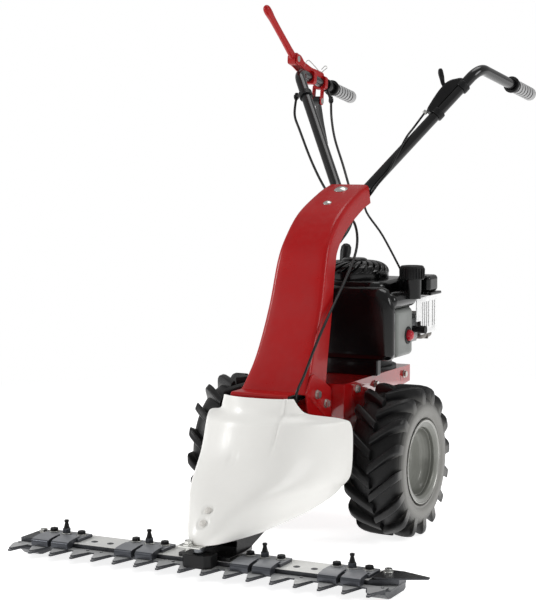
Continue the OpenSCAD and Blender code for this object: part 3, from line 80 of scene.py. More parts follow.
Piece = bpy.types.Object
Build = bmesh.types.BMesh
Socket = bpy.types.NodeSocket
Feeds = dict[str | int, object]
Rings = Sequence[Sequence[Vector]]
Colour = tuple[int, int, int]
Outline = list[tuple[float, float]]
Triple = tuple[float, float, float]

RECORD = frame["record"]
BODY_OF = {node: body for body, nodes in RECORD["behaviour"]["bodies"].items() for node in nodes}
SLOT_OF = {part["node"]: part["material_slot"] for part in RECORD["subparts"]}


def centre(node: str) -> Vector:
    """Gives the middle of a node's box at rest."""
    low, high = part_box(node)
    return (low + high) / 2


AXLE = centre("axle")


def drawn(x: float, y: float, z: float) -> Vector:
    """Places a point in the frame, from millimetres to the left, behind the axle and above the ground."""
    return Vector((x * MM, y * MM + AXLE.y, z * MM))


def light(colour: Colour) -> tuple[float, ...]:
    """Turns a colour of 0 to 255 steps into linear light with full cover."""
    shares = (step / 255 for step in colour)
    return (*(s / 12.92 if s <= 0.04045 else ((s + 0.055) / 1.055) ** 2.4 for s in shares), 1.0)


class NodeSheet:
    """A node tree with short ways to add and feed nodes."""

    def __init__(self, tree: bpy.types.NodeTree) -> None:
        """Takes the tree that is drawn on."""
        self.tree = tree

    def add(self, kind: str, feeds: Feeds | None = None, **settings: object) -> bpy.types.Node:
        """Adds a node.

        Args:
            kind: Blender's name of the node type.
            feeds: Socket or value for its inputs, by their name or number.
            **settings: Attributes of the node.

        Returns:
            The new node.
        """
        node = self.tree.nodes.new(kind)
        for name, value in settings.items():
            setattr(node, name, value)
        return self.feed(node, feeds or {})

    def feed(self, node: bpy.types.Node, feeds: Feeds) -> bpy.types.Node:
        """Links sockets to inputs of a node or sets their values.

        Args:
            node: The node.
            feeds: Socket or value for its inputs, by their name or number.

        Returns:
            The same node.
        """
        for name, value in feeds.items():
            if isinstance(value, Socket):
                self.tree.links.new(value, node.inputs[name])
            else:
                node.inputs[name].default_value = value
        return node

    def math(self, operation: str, first: object, second: object) -> Socket:
        """Adds a Math node and gives its result."""
        return self.add("ShaderNodeMath", {0: first, 1: second}, operation=operation).outputs[0]

    def vector(self, operation: str, first: object, second: object = (0, 0, 0)) -> bpy.types.Node:
        """Adds a Vector Math node."""
        return self.add("ShaderNodeVectorMath", {0: first, 1: second}, operation=operation)

    def spread(self, value: Socket, start: float, end: float) -> Socket:
        """Stretches the part of a value between start and end to 0 to 1."""
        feeds = {"Value": value, "From Min": start, "From Max": end}
        return self.add("ShaderNodeMapRange", feeds).outputs["Result"]

    def mixed(self, share: Socket, first: object, second: object) -> Socket:
        """Mixes two colours by a share of the second."""
        return self.add("ShaderNodeMix", {0: share, 6: first, 7: second}, data_type="RGBA").outputs[2]

    def spot(self) -> Socket:
        """Gives the place on the object."""
        return self.add("ShaderNodeTexCoord").outputs["Object"]


def socket_kind(value: object) -> str:
    """Names the socket type of a number, a vector or a colour."""
    count = len(value) if isinstance(value, tuple) else 1
    return {1: "NodeSocketFloat", 3: "NodeSocketVector", 4: "NodeSocketColor"}[count]


def new_group(
    name: str, inputs: dict[str, object], outputs: dict[str, object]
) -> tuple[NodeSheet, bpy.types.NodeOutputs, bpy.types.Node]:
    """Starts a shader node group.

    Args:
        name: Name of the group.
        inputs: Default of each input, by its name.
        outputs: A value of the kind of each output, by its name.

    Returns:
        A sheet on the group's tree, what the group is given, and its output node.
    """
    tree = bpy.data.node_groups.new(name, "ShaderNodeTree")
    for label, value in inputs.items():
        tree.interface.new_socket(label, in_out="INPUT", socket_type=socket_kind(value)).default_value = value
    for label, value in outputs.items():
        tree.interface.new_socket(label, in_out="OUTPUT", socket_type=socket_kind(value))
    sheet = NodeSheet(tree)
    return sheet, sheet.add("NodeGroupInput").outputs, sheet.add("NodeGroupOutput")


def tone_drift() -> bpy.types.NodeTree:
    """Makes the group that lets a colour drift to a second one in soft patches.

    Returns:
        A shader tree that puts out the colour and the mask of the patches.
    """
    inputs = {"Color": (0.5, 0.5, 0.5, 1), "Second": (0.4, 0.4, 0.4, 1), "Scale": 14.0, "Amount": 0.5}
    sheet, given, result = new_group("tone_drift", inputs, {"Color": (0, 0, 0, 1), "Mask": 0.0})
    feeds = {"Vector": sheet.spot(), "Scale": given["Scale"], "Detail": 5.0, "Roughness": 0.62}
    noise = sheet.add("ShaderNodeTexNoise", feeds)
    mask = sheet.spread(noise.outputs["Fac"], 0.36, 0.66)
    share = sheet.math("MULTIPLY", mask, given["Amount"])
    sheet.feed(result, {"Color": sheet.mixed(share, given["Color"], given["Second"]), "Mask": mask})
    return sheet.tree


def surface_grain() -> bpy.types.NodeTree:
    """Makes the group of a fine relief, stretched along the axes.

    Returns:
        A shader tree that puts out the height.
    """
    inputs = {"Stretch": (800.0, 800.0, 800.0), "Pits": 0.0}
    sheet, given, result = new_group("surface_grain", inputs, {"Height": 0.0})
    stretched = sheet.vector("MULTIPLY", sheet.spot(), given["Stretch"]).outputs[0]
    noise = sheet.add("ShaderNodeTexNoise", {"Vector": stretched, "Scale": 1.0, "Detail": 3.0})
    cells = sheet.add("ShaderNodeTexVoronoi", {"Vector": stretched, "Scale": 0.6})
    pits = sheet.math("MULTIPLY", cells.outputs["Distance"], given["Pits"])
    sheet.feed(result, {"Height": sheet.math("ADD", noise.outputs["Fac"], pits)})
    return sheet.tree


def settled_dust() -> bpy.types.NodeTree:
    """Makes the group of thin dust on faces that look up.

    Returns:
        A shader tree that puts out the mask of the dust.
    """
    sheet, given, result = new_group("settled_dust", {"Amount": 0.1, "Scale": 60.0}, {"Mask": 0.0})
    noise = sheet.add("ShaderNodeTexNoise", {"Vector": sheet.spot(), "Scale": given["Scale"], "Detail": 6.0})
    parts = sheet.add("ShaderNodeSeparateXYZ", {0: sheet.add("ShaderNodeNewGeometry").outputs["Normal"]})
    upward = sheet.spread(parts.outputs["Z"], 0.2, 1.0)
    dusty = sheet.math("MULTIPLY", upward, sheet.spread(noise.outputs["Fac"], 0.42, 0.72))
    sheet.feed(result, {"Mask": sheet.math("MULTIPLY", dusty, given["Amount"])})
    return sheet.tree


def axle_fade() -> bpy.types.NodeTree:
    """Makes the group of painted light that fades a colour in close to the axle's line.

    Returns:
        A shader tree that puts out the mask.
    """
    sheet, given, result = new_group("axle_fade", {"Start": 0.12, "End": 0.14}, {"Mask": 0.0})
    offset = sheet.vector("SUBTRACT", sheet.spot(), AXLE).outputs[0]
    radius = sheet.vector("LENGTH", sheet.vector("MULTIPLY", offset, (0, 1, 1)).outputs[0]).outputs["Value"]
    feeds = {"Value": radius, "From Min": given["End"], "From Max": given["Start"]}
    mask = sheet.add("ShaderNodeMapRange", feeds, interpolation_type="SMOOTHSTEP")
    sheet.feed(result, {"Mask": mask.outputs["Result"]})
    return sheet.tree


class Grain(Enum):
    """Relief of a surface seen close up, as waves per metre along X, Y and Z, and how pitted it is."""

    PEEL = (260.0, 260.0, 260.0, 0.0)
    CAST = (750.0, 750.0, 750.0, 0.5)
    BRUSHED = (40.0, 1900.0, 1900.0, 0.0)
    TURNED = (2600.0, 90.0, 90.0, 0.0)
    MOULDED = (1500.0, 1500.0, 1500.0, 0.3)
    SMOOTH = (110.0, 110.0, 110.0, 0.0)
    BRAID = (900.0, 900.0, 2400.0, 0.6)


@dataclass(frozen=True)
class Finish:
    """One surface finish, with its colour, its gloss, its relief and, for the tyre, painted light near the
    axle.
    """

    name: str
    colour: Colour
    second: Colour
    roughness: float
    grain: Grain
    relief: float = 0.1
    metallic: float = 0.0
    coat: float = 0.0
    drift: float = 0.5
    patch: float = 14.0
    gloss_spread: float = 0.05
    dust: float = 0.02
    shine: float = 0.35
    # Painted light: the lit grey that the colour turns to near the axle, and the radii over which it fades
    # in.
    hub_colour: Colour | None = None
    fade: tuple[float, float] = (0.12, 0.14)

    def material(self) -> bpy.types.Material:
        """Builds the material, or gives the one that is already built.

        Returns:
            The material of this finish.
        """
        label = f"{self.name}.look"
        found = bpy.data.materials.get(label)
        if found:
            return found
        material = bpy.data.materials.new(label)
        material.use_nodes = True
        sheet = NodeSheet(material.node_tree)
        tones = {"Color": light(self.colour), "Second": light(self.second)}
        tone = self.placed(sheet, tone_drift, Scale=self.patch, Amount=self.drift, **tones)
        dust = self.placed(sheet, settled_dust, Amount=self.dust)
        dusted = sheet.mixed(dust.outputs["Mask"], tone.outputs["Color"], light(DUST))
        gloss = sheet.add("ShaderNodeMapRange", {
            "Value": tone.outputs["Mask"], "To Min": max(LEAST_ROUGHNESS, self.roughness - self.gloss_spread),
            "To Max": min(1.0, self.roughness + self.gloss_spread),
        })
        relief = self.placed(sheet, surface_grain, Stretch=self.grain.value[:3], Pits=self.grain.value[3])
        bump = sheet.add(
            "ShaderNodeBump", {"Strength": self.relief, "Distance": MM, "Height": relief.outputs["Height"]}
        )
        sheet.feed(sheet.tree.nodes["Principled BSDF"], {
            "Base Color": self.faded(sheet, dusted), "Roughness": gloss.outputs["Result"],
            "Normal": bump.outputs["Normal"], "Metallic": self.metallic, "Coat Weight": self.coat,
            "Coat Roughness": COAT_ROUGHNESS, "Specular IOR Level": self.shine,
        })
        return material

    def faded(self, sheet: NodeSheet, colour: Socket) -> Socket:
        """Lets a colour turn into the painted light near the axle, where the finish has one.

        Args:
            sheet: Sheet of the material.
            colour: The colour far from the axle.

        Returns:
            The colour that is seen.
        """
        if self.hub_colour is None:
            return colour
        fade = self.placed(sheet, axle_fade, Start=self.fade[0], End=self.fade[1])
        return sheet.mixed(fade.outputs["Mask"], colour, light(self.hub_colour))

    @staticmethod
    def placed(sheet: NodeSheet, maker: Callable[[], bpy.types.NodeTree], **feeds: object) -> bpy.types.Node:
        """Places a shared node group, which is built the first time it is asked for, and feeds it."""
        tree = bpy.data.node_groups.get(maker.__name__) or maker()
        return sheet.feed(sheet.add("ShaderNodeGroup", node_tree=tree), feeds)


FINISHES = {finish.name: finish for finish in (
    Finish("red_paint", (164, 9, 12), (148, 7, 10), 0.32, Grain.PEEL, 0.03, coat=0.1, shine=0.22),
    Finish("red_gloss", (164, 9, 12), (148, 7, 10), 0.2, Grain.PEEL, 0.02, coat=1.0, shine=0.5),
    Finish("white_shell", (236, 235, 231), (231, 230, 226), 0.36, Grain.SMOOTH, 0.04, coat=0.1),
    # Painted shade: a grey below the shell's white for the screw heads, standing in for the shade in their
    # pockets.
    Finish("plug_grey", (206, 203, 197), (192, 189, 184), 0.4, Grain.SMOOTH, 0.05),
    Finish("black_paint", (12, 12, 13), (17, 17, 18), 0.22, Grain.PEEL, 0.03, coat=0.4, shine=0.3),
    Finish("black_cast", (20, 20, 21), (30, 30, 31), 0.48, Grain.CAST, 0.3),
    Finish("bar_steel", (236, 236, 233), (206, 207, 206), 0.36, Grain.BRUSHED, 0.12, 0.25),
    Finish("tooth_steel", (74, 75, 78), (54, 55, 58), 0.32, Grain.BRUSHED, 0.15, 0.85),
    # Painted sheen: a lighter copy of the tooth steel for the upward faces of the teeth.
    Finish("tooth_top", (204, 205, 205), (172, 173, 174), 0.3, Grain.BRUSHED, 0.12, 0.4),
    # Painted sheen: a lighter copy of the clip steel for the clips' upward faces.
    Finish("clip_top", (146, 148, 152), (118, 120, 125), 0.34, Grain.CAST, 0.12, 0.35),
    Finish("knife_steel", (112, 114, 117), (84, 86, 89), 0.3, Grain.BRUSHED, 0.12, 0.9),
    Finish("dark_steel", (74, 76, 81), (56, 58, 63), 0.34, Grain.CAST, 0.12, 0.6),
    Finish("zinc", (206, 206, 202), (180, 180, 175), 0.28, Grain.SMOOTH, 0.06, 0.9),
    Finish("bright_steel", (188, 189, 190), (160, 160, 162), 0.24, Grain.TURNED, 0.1, 1.0),
    # Painted highlight: the guard metal is lifted to near white to stand in for the muffler guard's bright
    # reflection.
    Finish("guard_metal", (250, 250, 250), (242, 242, 241), 0.3, Grain.SMOOTH, 0.05, 0.25),
    Finish("exhaust_steel", (128, 124, 120), (96, 90, 84), 0.5, Grain.CAST, 0.15, 0.8),
    Finish("pulley_steel", (58, 58, 60), (44, 44, 46), 0.4, Grain.TURNED, 0.15, 0.6),
    Finish("alloy", (168, 170, 170), (140, 142, 143), 0.48, Grain.CAST, 0.35, 0.85),
    Finish("bronze", (170, 138, 78), (140, 108, 58), 0.38, Grain.TURNED, 0.1, 0.95),
    Finish("rim_paint", (118, 119, 113), (106, 107, 101), 0.34, Grain.PEEL, 0.05, 0.2, coat=0.2),
    # Painted highlight: a lighter, glossier copy of the rim paint for the barrel's lip.
    Finish("rim_lip", (160, 160, 155), (146, 146, 141), 0.28, Grain.PEEL, 0.05, 0.4, coat=0.35),
    # Both tyre finishes turn to a lighter grey near the axle, as painted light on the side wall and the lug
    # rubber.
    Finish("tyre_rubber", (14, 14, 15), (20, 20, 20), 0.42, Grain.MOULDED, 0.2, shine=0.3,
           hub_colour=(96, 95, 92), fade=(0.128, 0.152)),
    Finish("tyre_wall", (15, 15, 16), (21, 21, 21), 0.42, Grain.MOULDED, 0.2, shine=0.3,
           hub_colour=(126, 125, 121), fade=(0.112, 0.141)),
    Finish("grip_rubber", (168, 168, 168), (152, 152, 153), 0.42, Grain.MOULDED, 0.2),
    Finish("belt_rubber", (28, 28, 28), (40, 40, 40), 0.7, Grain.MOULDED, 0.3),
    Finish("engine_gloss", (7, 7, 8), (11, 11, 12), 0.2, Grain.SMOOTH, 0.04, coat=0.2, shine=0.3),
    Finish("engine_matte", (14, 14, 15), (20, 20, 21), 0.4, Grain.MOULDED, 0.2, shine=0.25),
    Finish("cleaner_grey", (132, 135, 132), (116, 119, 117), 0.4, Grain.MOULDED, 0.12),
    Finish("primer_red", (186, 24, 44), (160, 16, 34), 0.28, Grain.SMOOTH, 0.05, coat=0.2),
    Finish("cable_black", (14, 14, 14), (22, 22, 22), 0.34, Grain.SMOOTH, 0.05),
    Finish("rope_cord", (206, 204, 196), (172, 170, 160), 0.7, Grain.BRAID, 0.6),
)}


def in_scene(piece: Piece) -> Piece:
    """Puts an object into the scene."""
    bpy.context.scene.collection.objects.link(piece)
    return piece


def finished(name: str, build: Build, look: str, sharp: float = SHARP, *extra: str) -> Piece:
    """Turns a build into a scene object with merged points, outward faces and shaded edges.

    Args:
        name: Name of the piece.
        build: The mesh under construction, which is used up.
        look: Name of its finish.
        sharp: Degrees between two faces past which their edge stays sharp.
        *extra: Names of the finishes of further material slots.

    Returns:
        The new object.
    """
    bmesh.ops.remove_doubles(build, verts=build.verts, dist=MERGE)
    bmesh.ops.recalc_face_normals(build, faces=build.faces)
    limit = math.radians(sharp)
    for face in build.faces:
        face.smooth = True
    for edge in build.edges:
        edge.smooth = edge.calc_face_angle(math.pi) < limit
    mesh = bpy.data.meshes.new(name)
    build.to_mesh(mesh)
    build.free()
    for part in (look, *extra):
        mesh.materials.append(FINISHES[part].material())
    return in_scene(bpy.data.objects.new(name, mesh))


def seated(piece: Piece, *nodes: str) -> Piece:
    """Lets a piece stand for CAD nodes of one body: it rides on the first one's body and the nodes are
    hidden.

    Args:
        piece: The finished object.
        *nodes: Names of the nodes; without any, the node that the piece's name starts with.

    Returns:
        The same object.
    """
    nodes = nodes or (piece.name.split(".")[0],)
    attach(piece, BODY_OF[nodes[0]])
    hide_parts(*nodes)
    LOG.info("%s stands for %s", piece.name, ", ".join(nodes))
    return piece


def round_edges(piece: Piece, width: float, segments: int = 2, angle: float = SHARP) -> Piece:
    """Adds a bevel to the sharp edges of a piece.

    Args:
        piece: The object.
        width: Width of the bevel in metres.
        segments: Faces across the bevel.
        angle: Degrees past which an edge is rounded.

    Returns:
        The same object.
    """
    bevel = piece.modifiers.new("rounding", "BEVEL")
    bevel.width = width
    bevel.segments = segments
    bevel.limit_method = "ANGLE"
    bevel.angle_limit = math.radians(angle)
    bevel.harden_normals = True
    bevel.miter_outer = "MITER_ARC"
    return piece


def softened(node: str, width: float = 0.6 * MM, segments: int = 2, look: str = "") -> Piece:
    """Copies a CAD node with whole faces and rounded edges, and lets the copy stand for it.

    Args:
        node: Name of the node.
        width: Width of the rounding in metres.
        segments: Faces across the rounding.
        look: Name of a finish other than the one of the node's slot.

    Returns:
        The new object.
    """
    build = bmesh.new()
    build.from_mesh(frame["nodes"][node].data)
    bmesh.ops.remove_doubles(build, verts=build.verts, dist=MERGE)
    bmesh.ops.dissolve_limit(
        build, angle_limit=math.radians(FLAT), verts=build.verts, edges=build.edges,
        use_dissolve_boundaries=False,
    )
    piece = finished(f"{node}.finished", build, look or SLOT_OF[node])
    return seated(round_edges(piece, width, segments))


def two_tone(piece: Piece, look: str, chosen: Callable[[bpy.types.MeshPolygon], bool]) -> Piece:
    """Gives some faces of a piece a second finish.

    Args:
        piece: The object.
        look: Name of the second finish.
        chosen: Tells whether a face takes it.

    Returns:
        The same object.
    """
    piece.data.materials.append(FINISHES[look].material())
    for face in piece.data.polygons:
        face.material_index = int(chosen(face))
    return piece


def aimed(point: Vector, direction: Vector) -> Matrix:
    """Gives the matrix that puts the origin on a point and turns Z along a direction."""
    return Matrix.Translation(point) @ direction.to_track_quat("Z", "Y").to_matrix().to_4x4()


def curve(stations: Sequence[Sequence[float]], steps: int) -> list[Vector]:
    """Runs a smooth curve through stations of any number of values.

    Args:
        stations: The stations in order.
        steps: Steps between two stations.

    Returns:
        The points of the curve.
    """
    rows = [Vector(s) for s in stations]
    last = len(rows) - 1
    points = []
    for i in range(last):
        a, b, c, d = rows[max(i - 1, 0)], rows[i], rows[i + 1], rows[min(i + 2, last)]
        for k in range(steps):
            t = k / steps
            bend = (2 * a - 5 * b + 4 * c - d) * t * t + (3 * b - a - 3 * c + d) * t ** 3
            points.append(0.5 * (2 * b + (c - a) * t + bend))
    return [*points, rows[last]]


def heading(path: Sequence[Vector], i: int) -> Vector:
    """Gives the direction of a path at one of its points."""
    return (path[min(i + 1, len(path) - 1)] - path[max(i - 1, 0)]).normalized()


def filleted(points: Outline, radius: float, steps: int = 4, closed: bool = False) -> Outline:
    """Rounds the corners of an outline.

    Args:
        points: Corners in order.
        radius: Length of each corner that the rounding takes, at most.
        steps: Steps along a rounded corner.
        closed: Whether the last corner joins the first.

    Returns:
        The rounded outline.
    """
    count = len(points)
    result: Outline = []
    for i, here in enumerate(points):
        if not closed and i in (0, count - 1):
            result.append(here)
            continue
        corner = Vector(here)
        back = Vector(points[i - 1]) - corner
        on = Vector(points[(i + 1) % count]) - corner
        reach = min(radius, CORNER_SHARE * back.length, CORNER_SHARE * on.length)
        start, end = corner + back.normalized() * reach, corner + on.normalized() * reach
        for k in range(steps + 1):
            t = k / steps
            result.append(tuple(start * (1 - t) ** 2 + corner * (2 * t * (1 - t)) + end * t * t))
    return result


def thick(path: Outline, wall: float) -> Outline:
    """Gives the outline of a sheet beside an open line.

    Args:
        path: Points of the line.
        wall: Thickness of the sheet, to the right of the line.

    Returns:
        The closed outline.
    """
    rows = [Vector(p) for p in path]
    sides = [(row, heading(rows, i)) for i, row in enumerate(rows)]
    return [tuple(r) for r in rows] + [(r.x + wall * d.y, r.y - wall * d.x) for r, d in reversed(sides)]


def bridge(build: Build, rings: Rings, closed: bool = False, capped: bool = False) -> None:
    """Joins rings of points by faces.

    Args:
        build: The mesh under construction.
        rings: Rings with the same number of points, each closed.
        closed: Whether the last ring joins the first.
        capped: Whether the end rings are filled.
    """
    rows = [[build.verts.new(p) for p in ring] for ring in rings]
    count = len(rows[0])
    pairs = list(zip(rows, rows[1:]))
    if closed:
        pairs.append((rows[-1], rows[0]))
    for low, high in pairs:
        for k in range(count):
            n = (k + 1) % count
            build.faces.new((low[k], low[n], high[n], high[k]))
    if capped:
        build.faces.new(rows[0])
        build.faces.new(rows[-1])


def full_turn(count: int) -> list[float]:
    """Gives the angles of even steps around a circle."""
    return [math.tau * k / count for k in range(count)]


def quarter_turn(steps: int) -> list[float]:
    """Gives the angles of even steps from 0 to 90 degrees."""
    return [math.radians(90 * k / steps) for k in range(steps + 1)]


def lathe(
    build: Build, profile: Outline, place: Matrix, segments: int = 96, edge: float = 0.0, steps: int = 3,
    closed: bool = False,
) -> None:
    """Turns a profile about the Z axis of a placing matrix.

    Args:
        build: The mesh under construction.
        profile: Radius and height of each point in millimetres.
        place: Where the axis lies.
        segments: Steps around the axis.
        edge: Length of each corner that a rounding takes, at most.
        steps: Steps along a rounded corner.
        closed: Whether the profile is a closed loop.
    """
    points = [(r * MM, z * MM) for r, z in profile]
    if edge:
        points = filleted(points, edge * MM, steps, closed)
    turns = full_turn(segments)
    rings = [[place @ Vector((r * math.cos(a), r * math.sin(a), z)) for a in turns] for r, z in points]
    bridge(build, rings, closed)


def swept(path: Sequence[Vector], radius: float, sides: int) -> list[list[Vector]]:
    """Gives the rings of a round sweep that doesn't twist.

    Args:
        path: Points of the middle line.
        radius: Radius of the sweep.
        sides: Points in a ring.

    Returns:
        One ring for each point.
    """
    across = heading(path, 0).orthogonal().normalized()
    rings = []
    for i, point in enumerate(path):
        along = heading(path, i)
        across = (across - along * across.dot(along)).normalized()
        other = along.cross(across)
        spokes = [math.cos(a) * across + math.sin(a) * other for a in full_turn(sides)]
        rings.append([point + radius * spoke for spoke in spokes])
    return rings


def turned_piece(
    name: str, look: str, profile: Outline, place: Matrix, segments: int = 32, edge: float = 0.0,
    steps: int = 3, closed: bool = False,
) -> Piece:
    """Turns a whole piece on the lathe and lets it stand for the node that its name starts with.

    Args:
        name: Name of the piece.
        look: Name of its finish.
        profile: Radius and height of each point in millimetres.
        place: Where the axis lies.
        segments: Steps around the axis.
        edge: Length of each corner that a rounding takes, at most.
        steps: Steps along a rounded corner.
        closed: Whether the profile is a closed loop.

    Returns:
        The new object.
    """
    build = bmesh.new()
    lathe(build, profile, place, segments, edge, steps, closed)
    return seated(finished(name, build, look))


def lofted(name: str, look: str, rings: Rings, sharp: float = SHARP) -> Piece:
    """Builds a closed piece from rings of points.

    Args:
        name: Name of the piece.
        look: Name of its finish.
        rings: Rings with the same number of points, each closed.
        sharp: Degrees between two faces past which their edge stays sharp.

    Returns:
        The new object.
    """
    build = bmesh.new()
    bridge(build, rings, capped=True)
    return finished(name, build, look, sharp)


def swept_piece(name: str, look: str, path: Sequence[Vector], radius: float, sides: int) -> Piece:
    """Builds a round wire, rope or cable along a path in metres, with a radius in millimetres."""
    return lofted(name, look, swept(path, radius * MM, sides))


def sheet_between(build: Build, top: list[list[Vector]], under: list[list[Vector]]) -> None:
    """Closes a sheet between two grids of points with the same rows and columns.

    Args:
        build: The mesh under construction.
        top: Rows of the outer face.
        under: Rows of the inner face.
    """
    bridge(build, [[*row, *reversed(low)] for row, low in zip(top, under)])
    for row, low in ((top[0], under[0]), (top[-1], under[-1])):
        upper = [build.verts.new(p) for p in row]
        lower = [build.verts.new(p) for p in low]
        for k in range(len(row) - 1):
            build.faces.new((upper[k], upper[k + 1], lower[k + 1], lower[k]))


def block_stops(half: float, radius: float, arc: int = 5, flat: int = 6) -> list[float]:
    """Spaces the points across a rounded block: close together on its round edges, wide on its flats.

    Args:
        half: Half of the block's size.
        radius: Radius of the edges.
        arc: Steps over a face's half of a round edge.
        flat: Steps over the flat.

    Returns:
        Places from one side to the other.
    """
    edge = [radius * math.tan(math.radians(45) * k / arc) for k in range(arc + 1)]
    inner = half - radius
    flats = [inner * (2 * k / flat - 1) for k in range(1, flat)]
    return [-inner - e for e in reversed(edge)] + flats + [inner + e for e in edge]


def rounded_block(build: Build, low: Vector, high: Vector, radius: float, crown: float = 0.0) -> None:
    """Adds a box with round edges and slightly swollen faces.

    Args:
        build: The mesh under construction.
        low: Lowest corner.
        high: Highest corner.
        radius: Radius of the edges.
        crown: How far the middle of each face stands proud.
    """
    middle, half = (low + high) / 2, (high - low) / 2
    core = half - Vector((radius, radius, radius))
    for axis in range(3):
        first, second = (axis + 1) % 3, (axis + 2) % 3
        for sign in (-1, 1):
            grid = []
            for a in block_stops(half[first], radius):
                row = []
                for b in block_stops(half[second], radius):
                    spot = Vector((0, 0, 0))
                    spot[axis], spot[first], spot[second] = sign * half[axis], a, b
                    inner = Vector([max(-c, min(c, s)) for s, c in zip(spot, core)])
                    point = inner + (spot - inner).normalized() * radius
                    point[axis] += sign * crown * (1 - (a / half[first]) ** 2) * (1 - (b / half[second]) ** 2)
                    row.append(build.verts.new(middle + point))
                grid.append(row)
            for i in range(len(grid) - 1):
                for j in range(len(grid[0]) - 1):
                    build.faces.new((grid[i][j], grid[i + 1][j], grid[i + 1][j + 1], grid[i][j + 1]))


def panel(build: Build, start: float, end: float, outline: Outline) -> None:
    """Adds a panel between two places across, with an upright outline of backs and heights."""
    bridge(build, [[drawn(x, y, z) for y, z in outline] for x in (start, end)], capped=True)


class CopyTree(Enum):
    """Node trees that repeat a piece."""

    RING = "ring_of_copies"
    POINTS = "copies_on_points"

    def tree(self) -> bpy.types.NodeTree:
        """Gives the tree, which is built the first time it is asked for."""
        return bpy.data.node_groups.get(self.value) or self.built()

    def built(self) -> bpy.types.NodeTree:
        """Builds the tree.

        Returns:
            A geometry tree with the inputs Piece, Count, Phase and Finish.
        """
        tree = bpy.data.node_groups.new(self.value, "GeometryNodeTree")
        names = ("Geometry", "Piece", "Count", "Phase", "Finish")
        for label, kind in zip(names, ("Geometry", "Object", "Int", "Float", "Material")):
            tree.interface.new_socket(label, in_out="INPUT", socket_type=f"NodeSocket{kind}")
        tree.interface.new_socket("Geometry", in_out="OUTPUT", socket_type="NodeSocketGeometry")
        sheet = NodeSheet(tree)
        given = sheet.add("NodeGroupInput").outputs
        source = sheet.add("GeometryNodeObjectInfo", {"Object": given["Piece"]})
        if self is CopyTree.RING:
            points = sheet.add("GeometryNodePoints", {"Count": given["Count"]}).outputs[0]
            share = sheet.math("DIVIDE", sheet.add("GeometryNodeInputIndex").outputs[0], given["Count"])
            turn = sheet.math("MULTIPLY", sheet.math("ADD", share, given["Phase"]), math.tau)
            angles = sheet.add("ShaderNodeCombineXYZ", {"Z": turn}).outputs[0]
        else:
            points = given["Geometry"]
            stored = sheet.add("GeometryNodeInputNamedAttribute", {"Name": "turn"}, data_type="FLOAT_VECTOR")
            angles = stored.outputs["Attribute"]
        turned = sheet.add("FunctionNodeEulerToRotation", {0: angles})
        feeds = {"Points": points, "Instance": source.outputs["Geometry"], "Rotation": turned.outputs[0]}
        copies = sheet.add("GeometryNodeInstanceOnPoints", feeds)
        real = sheet.add("GeometryNodeRealizeInstances", {0: copies.outputs[0]})
        feeds = {"Geometry": real.outputs[0], "Material": given["Finish"]}
        dressed = sheet.add("GeometryNodeSetMaterial", feeds)
        sheet.add("NodeGroupOutput", {0: dressed.outputs[0]})
        return tree


def copied(
    name: str, kind: CopyTree, carrier: bpy.types.Mesh, source: Piece, count: int, phase: float = 0.0
) -> Piece:
    """Runs a copy tree once and keeps its result as a plain mesh.

    Args:
        name: Name of the new piece.
        kind: The tree.
        carrier: Mesh whose points carry the copies, which may be empty.
        source: The piece that is repeated, which is used up.
        count: Copies in a ring.
        phase: Turn of a ring, as a share of a full turn.

    Returns:
        The new object.
    """
    holder = in_scene(bpy.data.objects.new(name, carrier))
    modifier = holder.modifiers.new("copies", "NODES")
    tree = kind.tree()
    values = {"Piece": source, "Count": count, "Phase": phase, "Finish": source.data.materials[0]}
    modifier.node_group = tree
    for item in tree.interface.items_tree:
        if item.in_out == "INPUT" and item.name in values:
            modifier[item.identifier] = values[item.name]
    bpy.context.view_layer.update()
    seen = holder.evaluated_get(bpy.context.evaluated_depsgraph_get())
    mesh = bpy.data.meshes.new_from_object(seen)
    holder.modifiers.clear()
    holder.data = mesh
    bpy.data.objects.remove(source)
    return holder


def ring_of(name: str, source: Piece, count: int, place: Matrix, phase: float = 0.0) -> Piece:
    """Repeats a piece around the Z axis and puts the ring in its place.

    Args:
        name: Name of the new piece.
        source: The piece that is repeated.
        count: Copies in the ring.
        place: Where the ring's axis lies.
        phase: Turn of the ring, as a share of a full turn.

    Returns:
        The new object.
    """
    ring = copied(name, CopyTree.RING, bpy.data.meshes.new(name), source, count, phase)
    ring.data.transform(place)
    if place.determinant() < 0:
        ring.data.flip_normals()
    return ring


def points_of(name: str, source: Piece, places: Iterable[Matrix]) -> Piece:
    """Repeats a piece at places.

    Args:
        name: Name of the new piece.
        source: The piece that is repeated.
        places: Where each copy's origin and axes lie.

    Returns:
        The new object.
    """
    spots = list(places)
    carrier = bpy.data.meshes.new(name)
    carrier.from_pydata([s.translation for s in spots], [], [])
    turns = carrier.attributes.new("turn", "FLOAT_VECTOR", "POINT")
    for row, spot in zip(turns.data, spots):
        row.vector = spot.to_euler()
    return copied(name, CopyTree.POINTS, carrier, source, len(spots))


class SubAssembly(ABC):
    """A group of pieces that are built together."""

    @abstractmethod
    def build(self) -> None:
        """Builds the pieces and dresses them."""


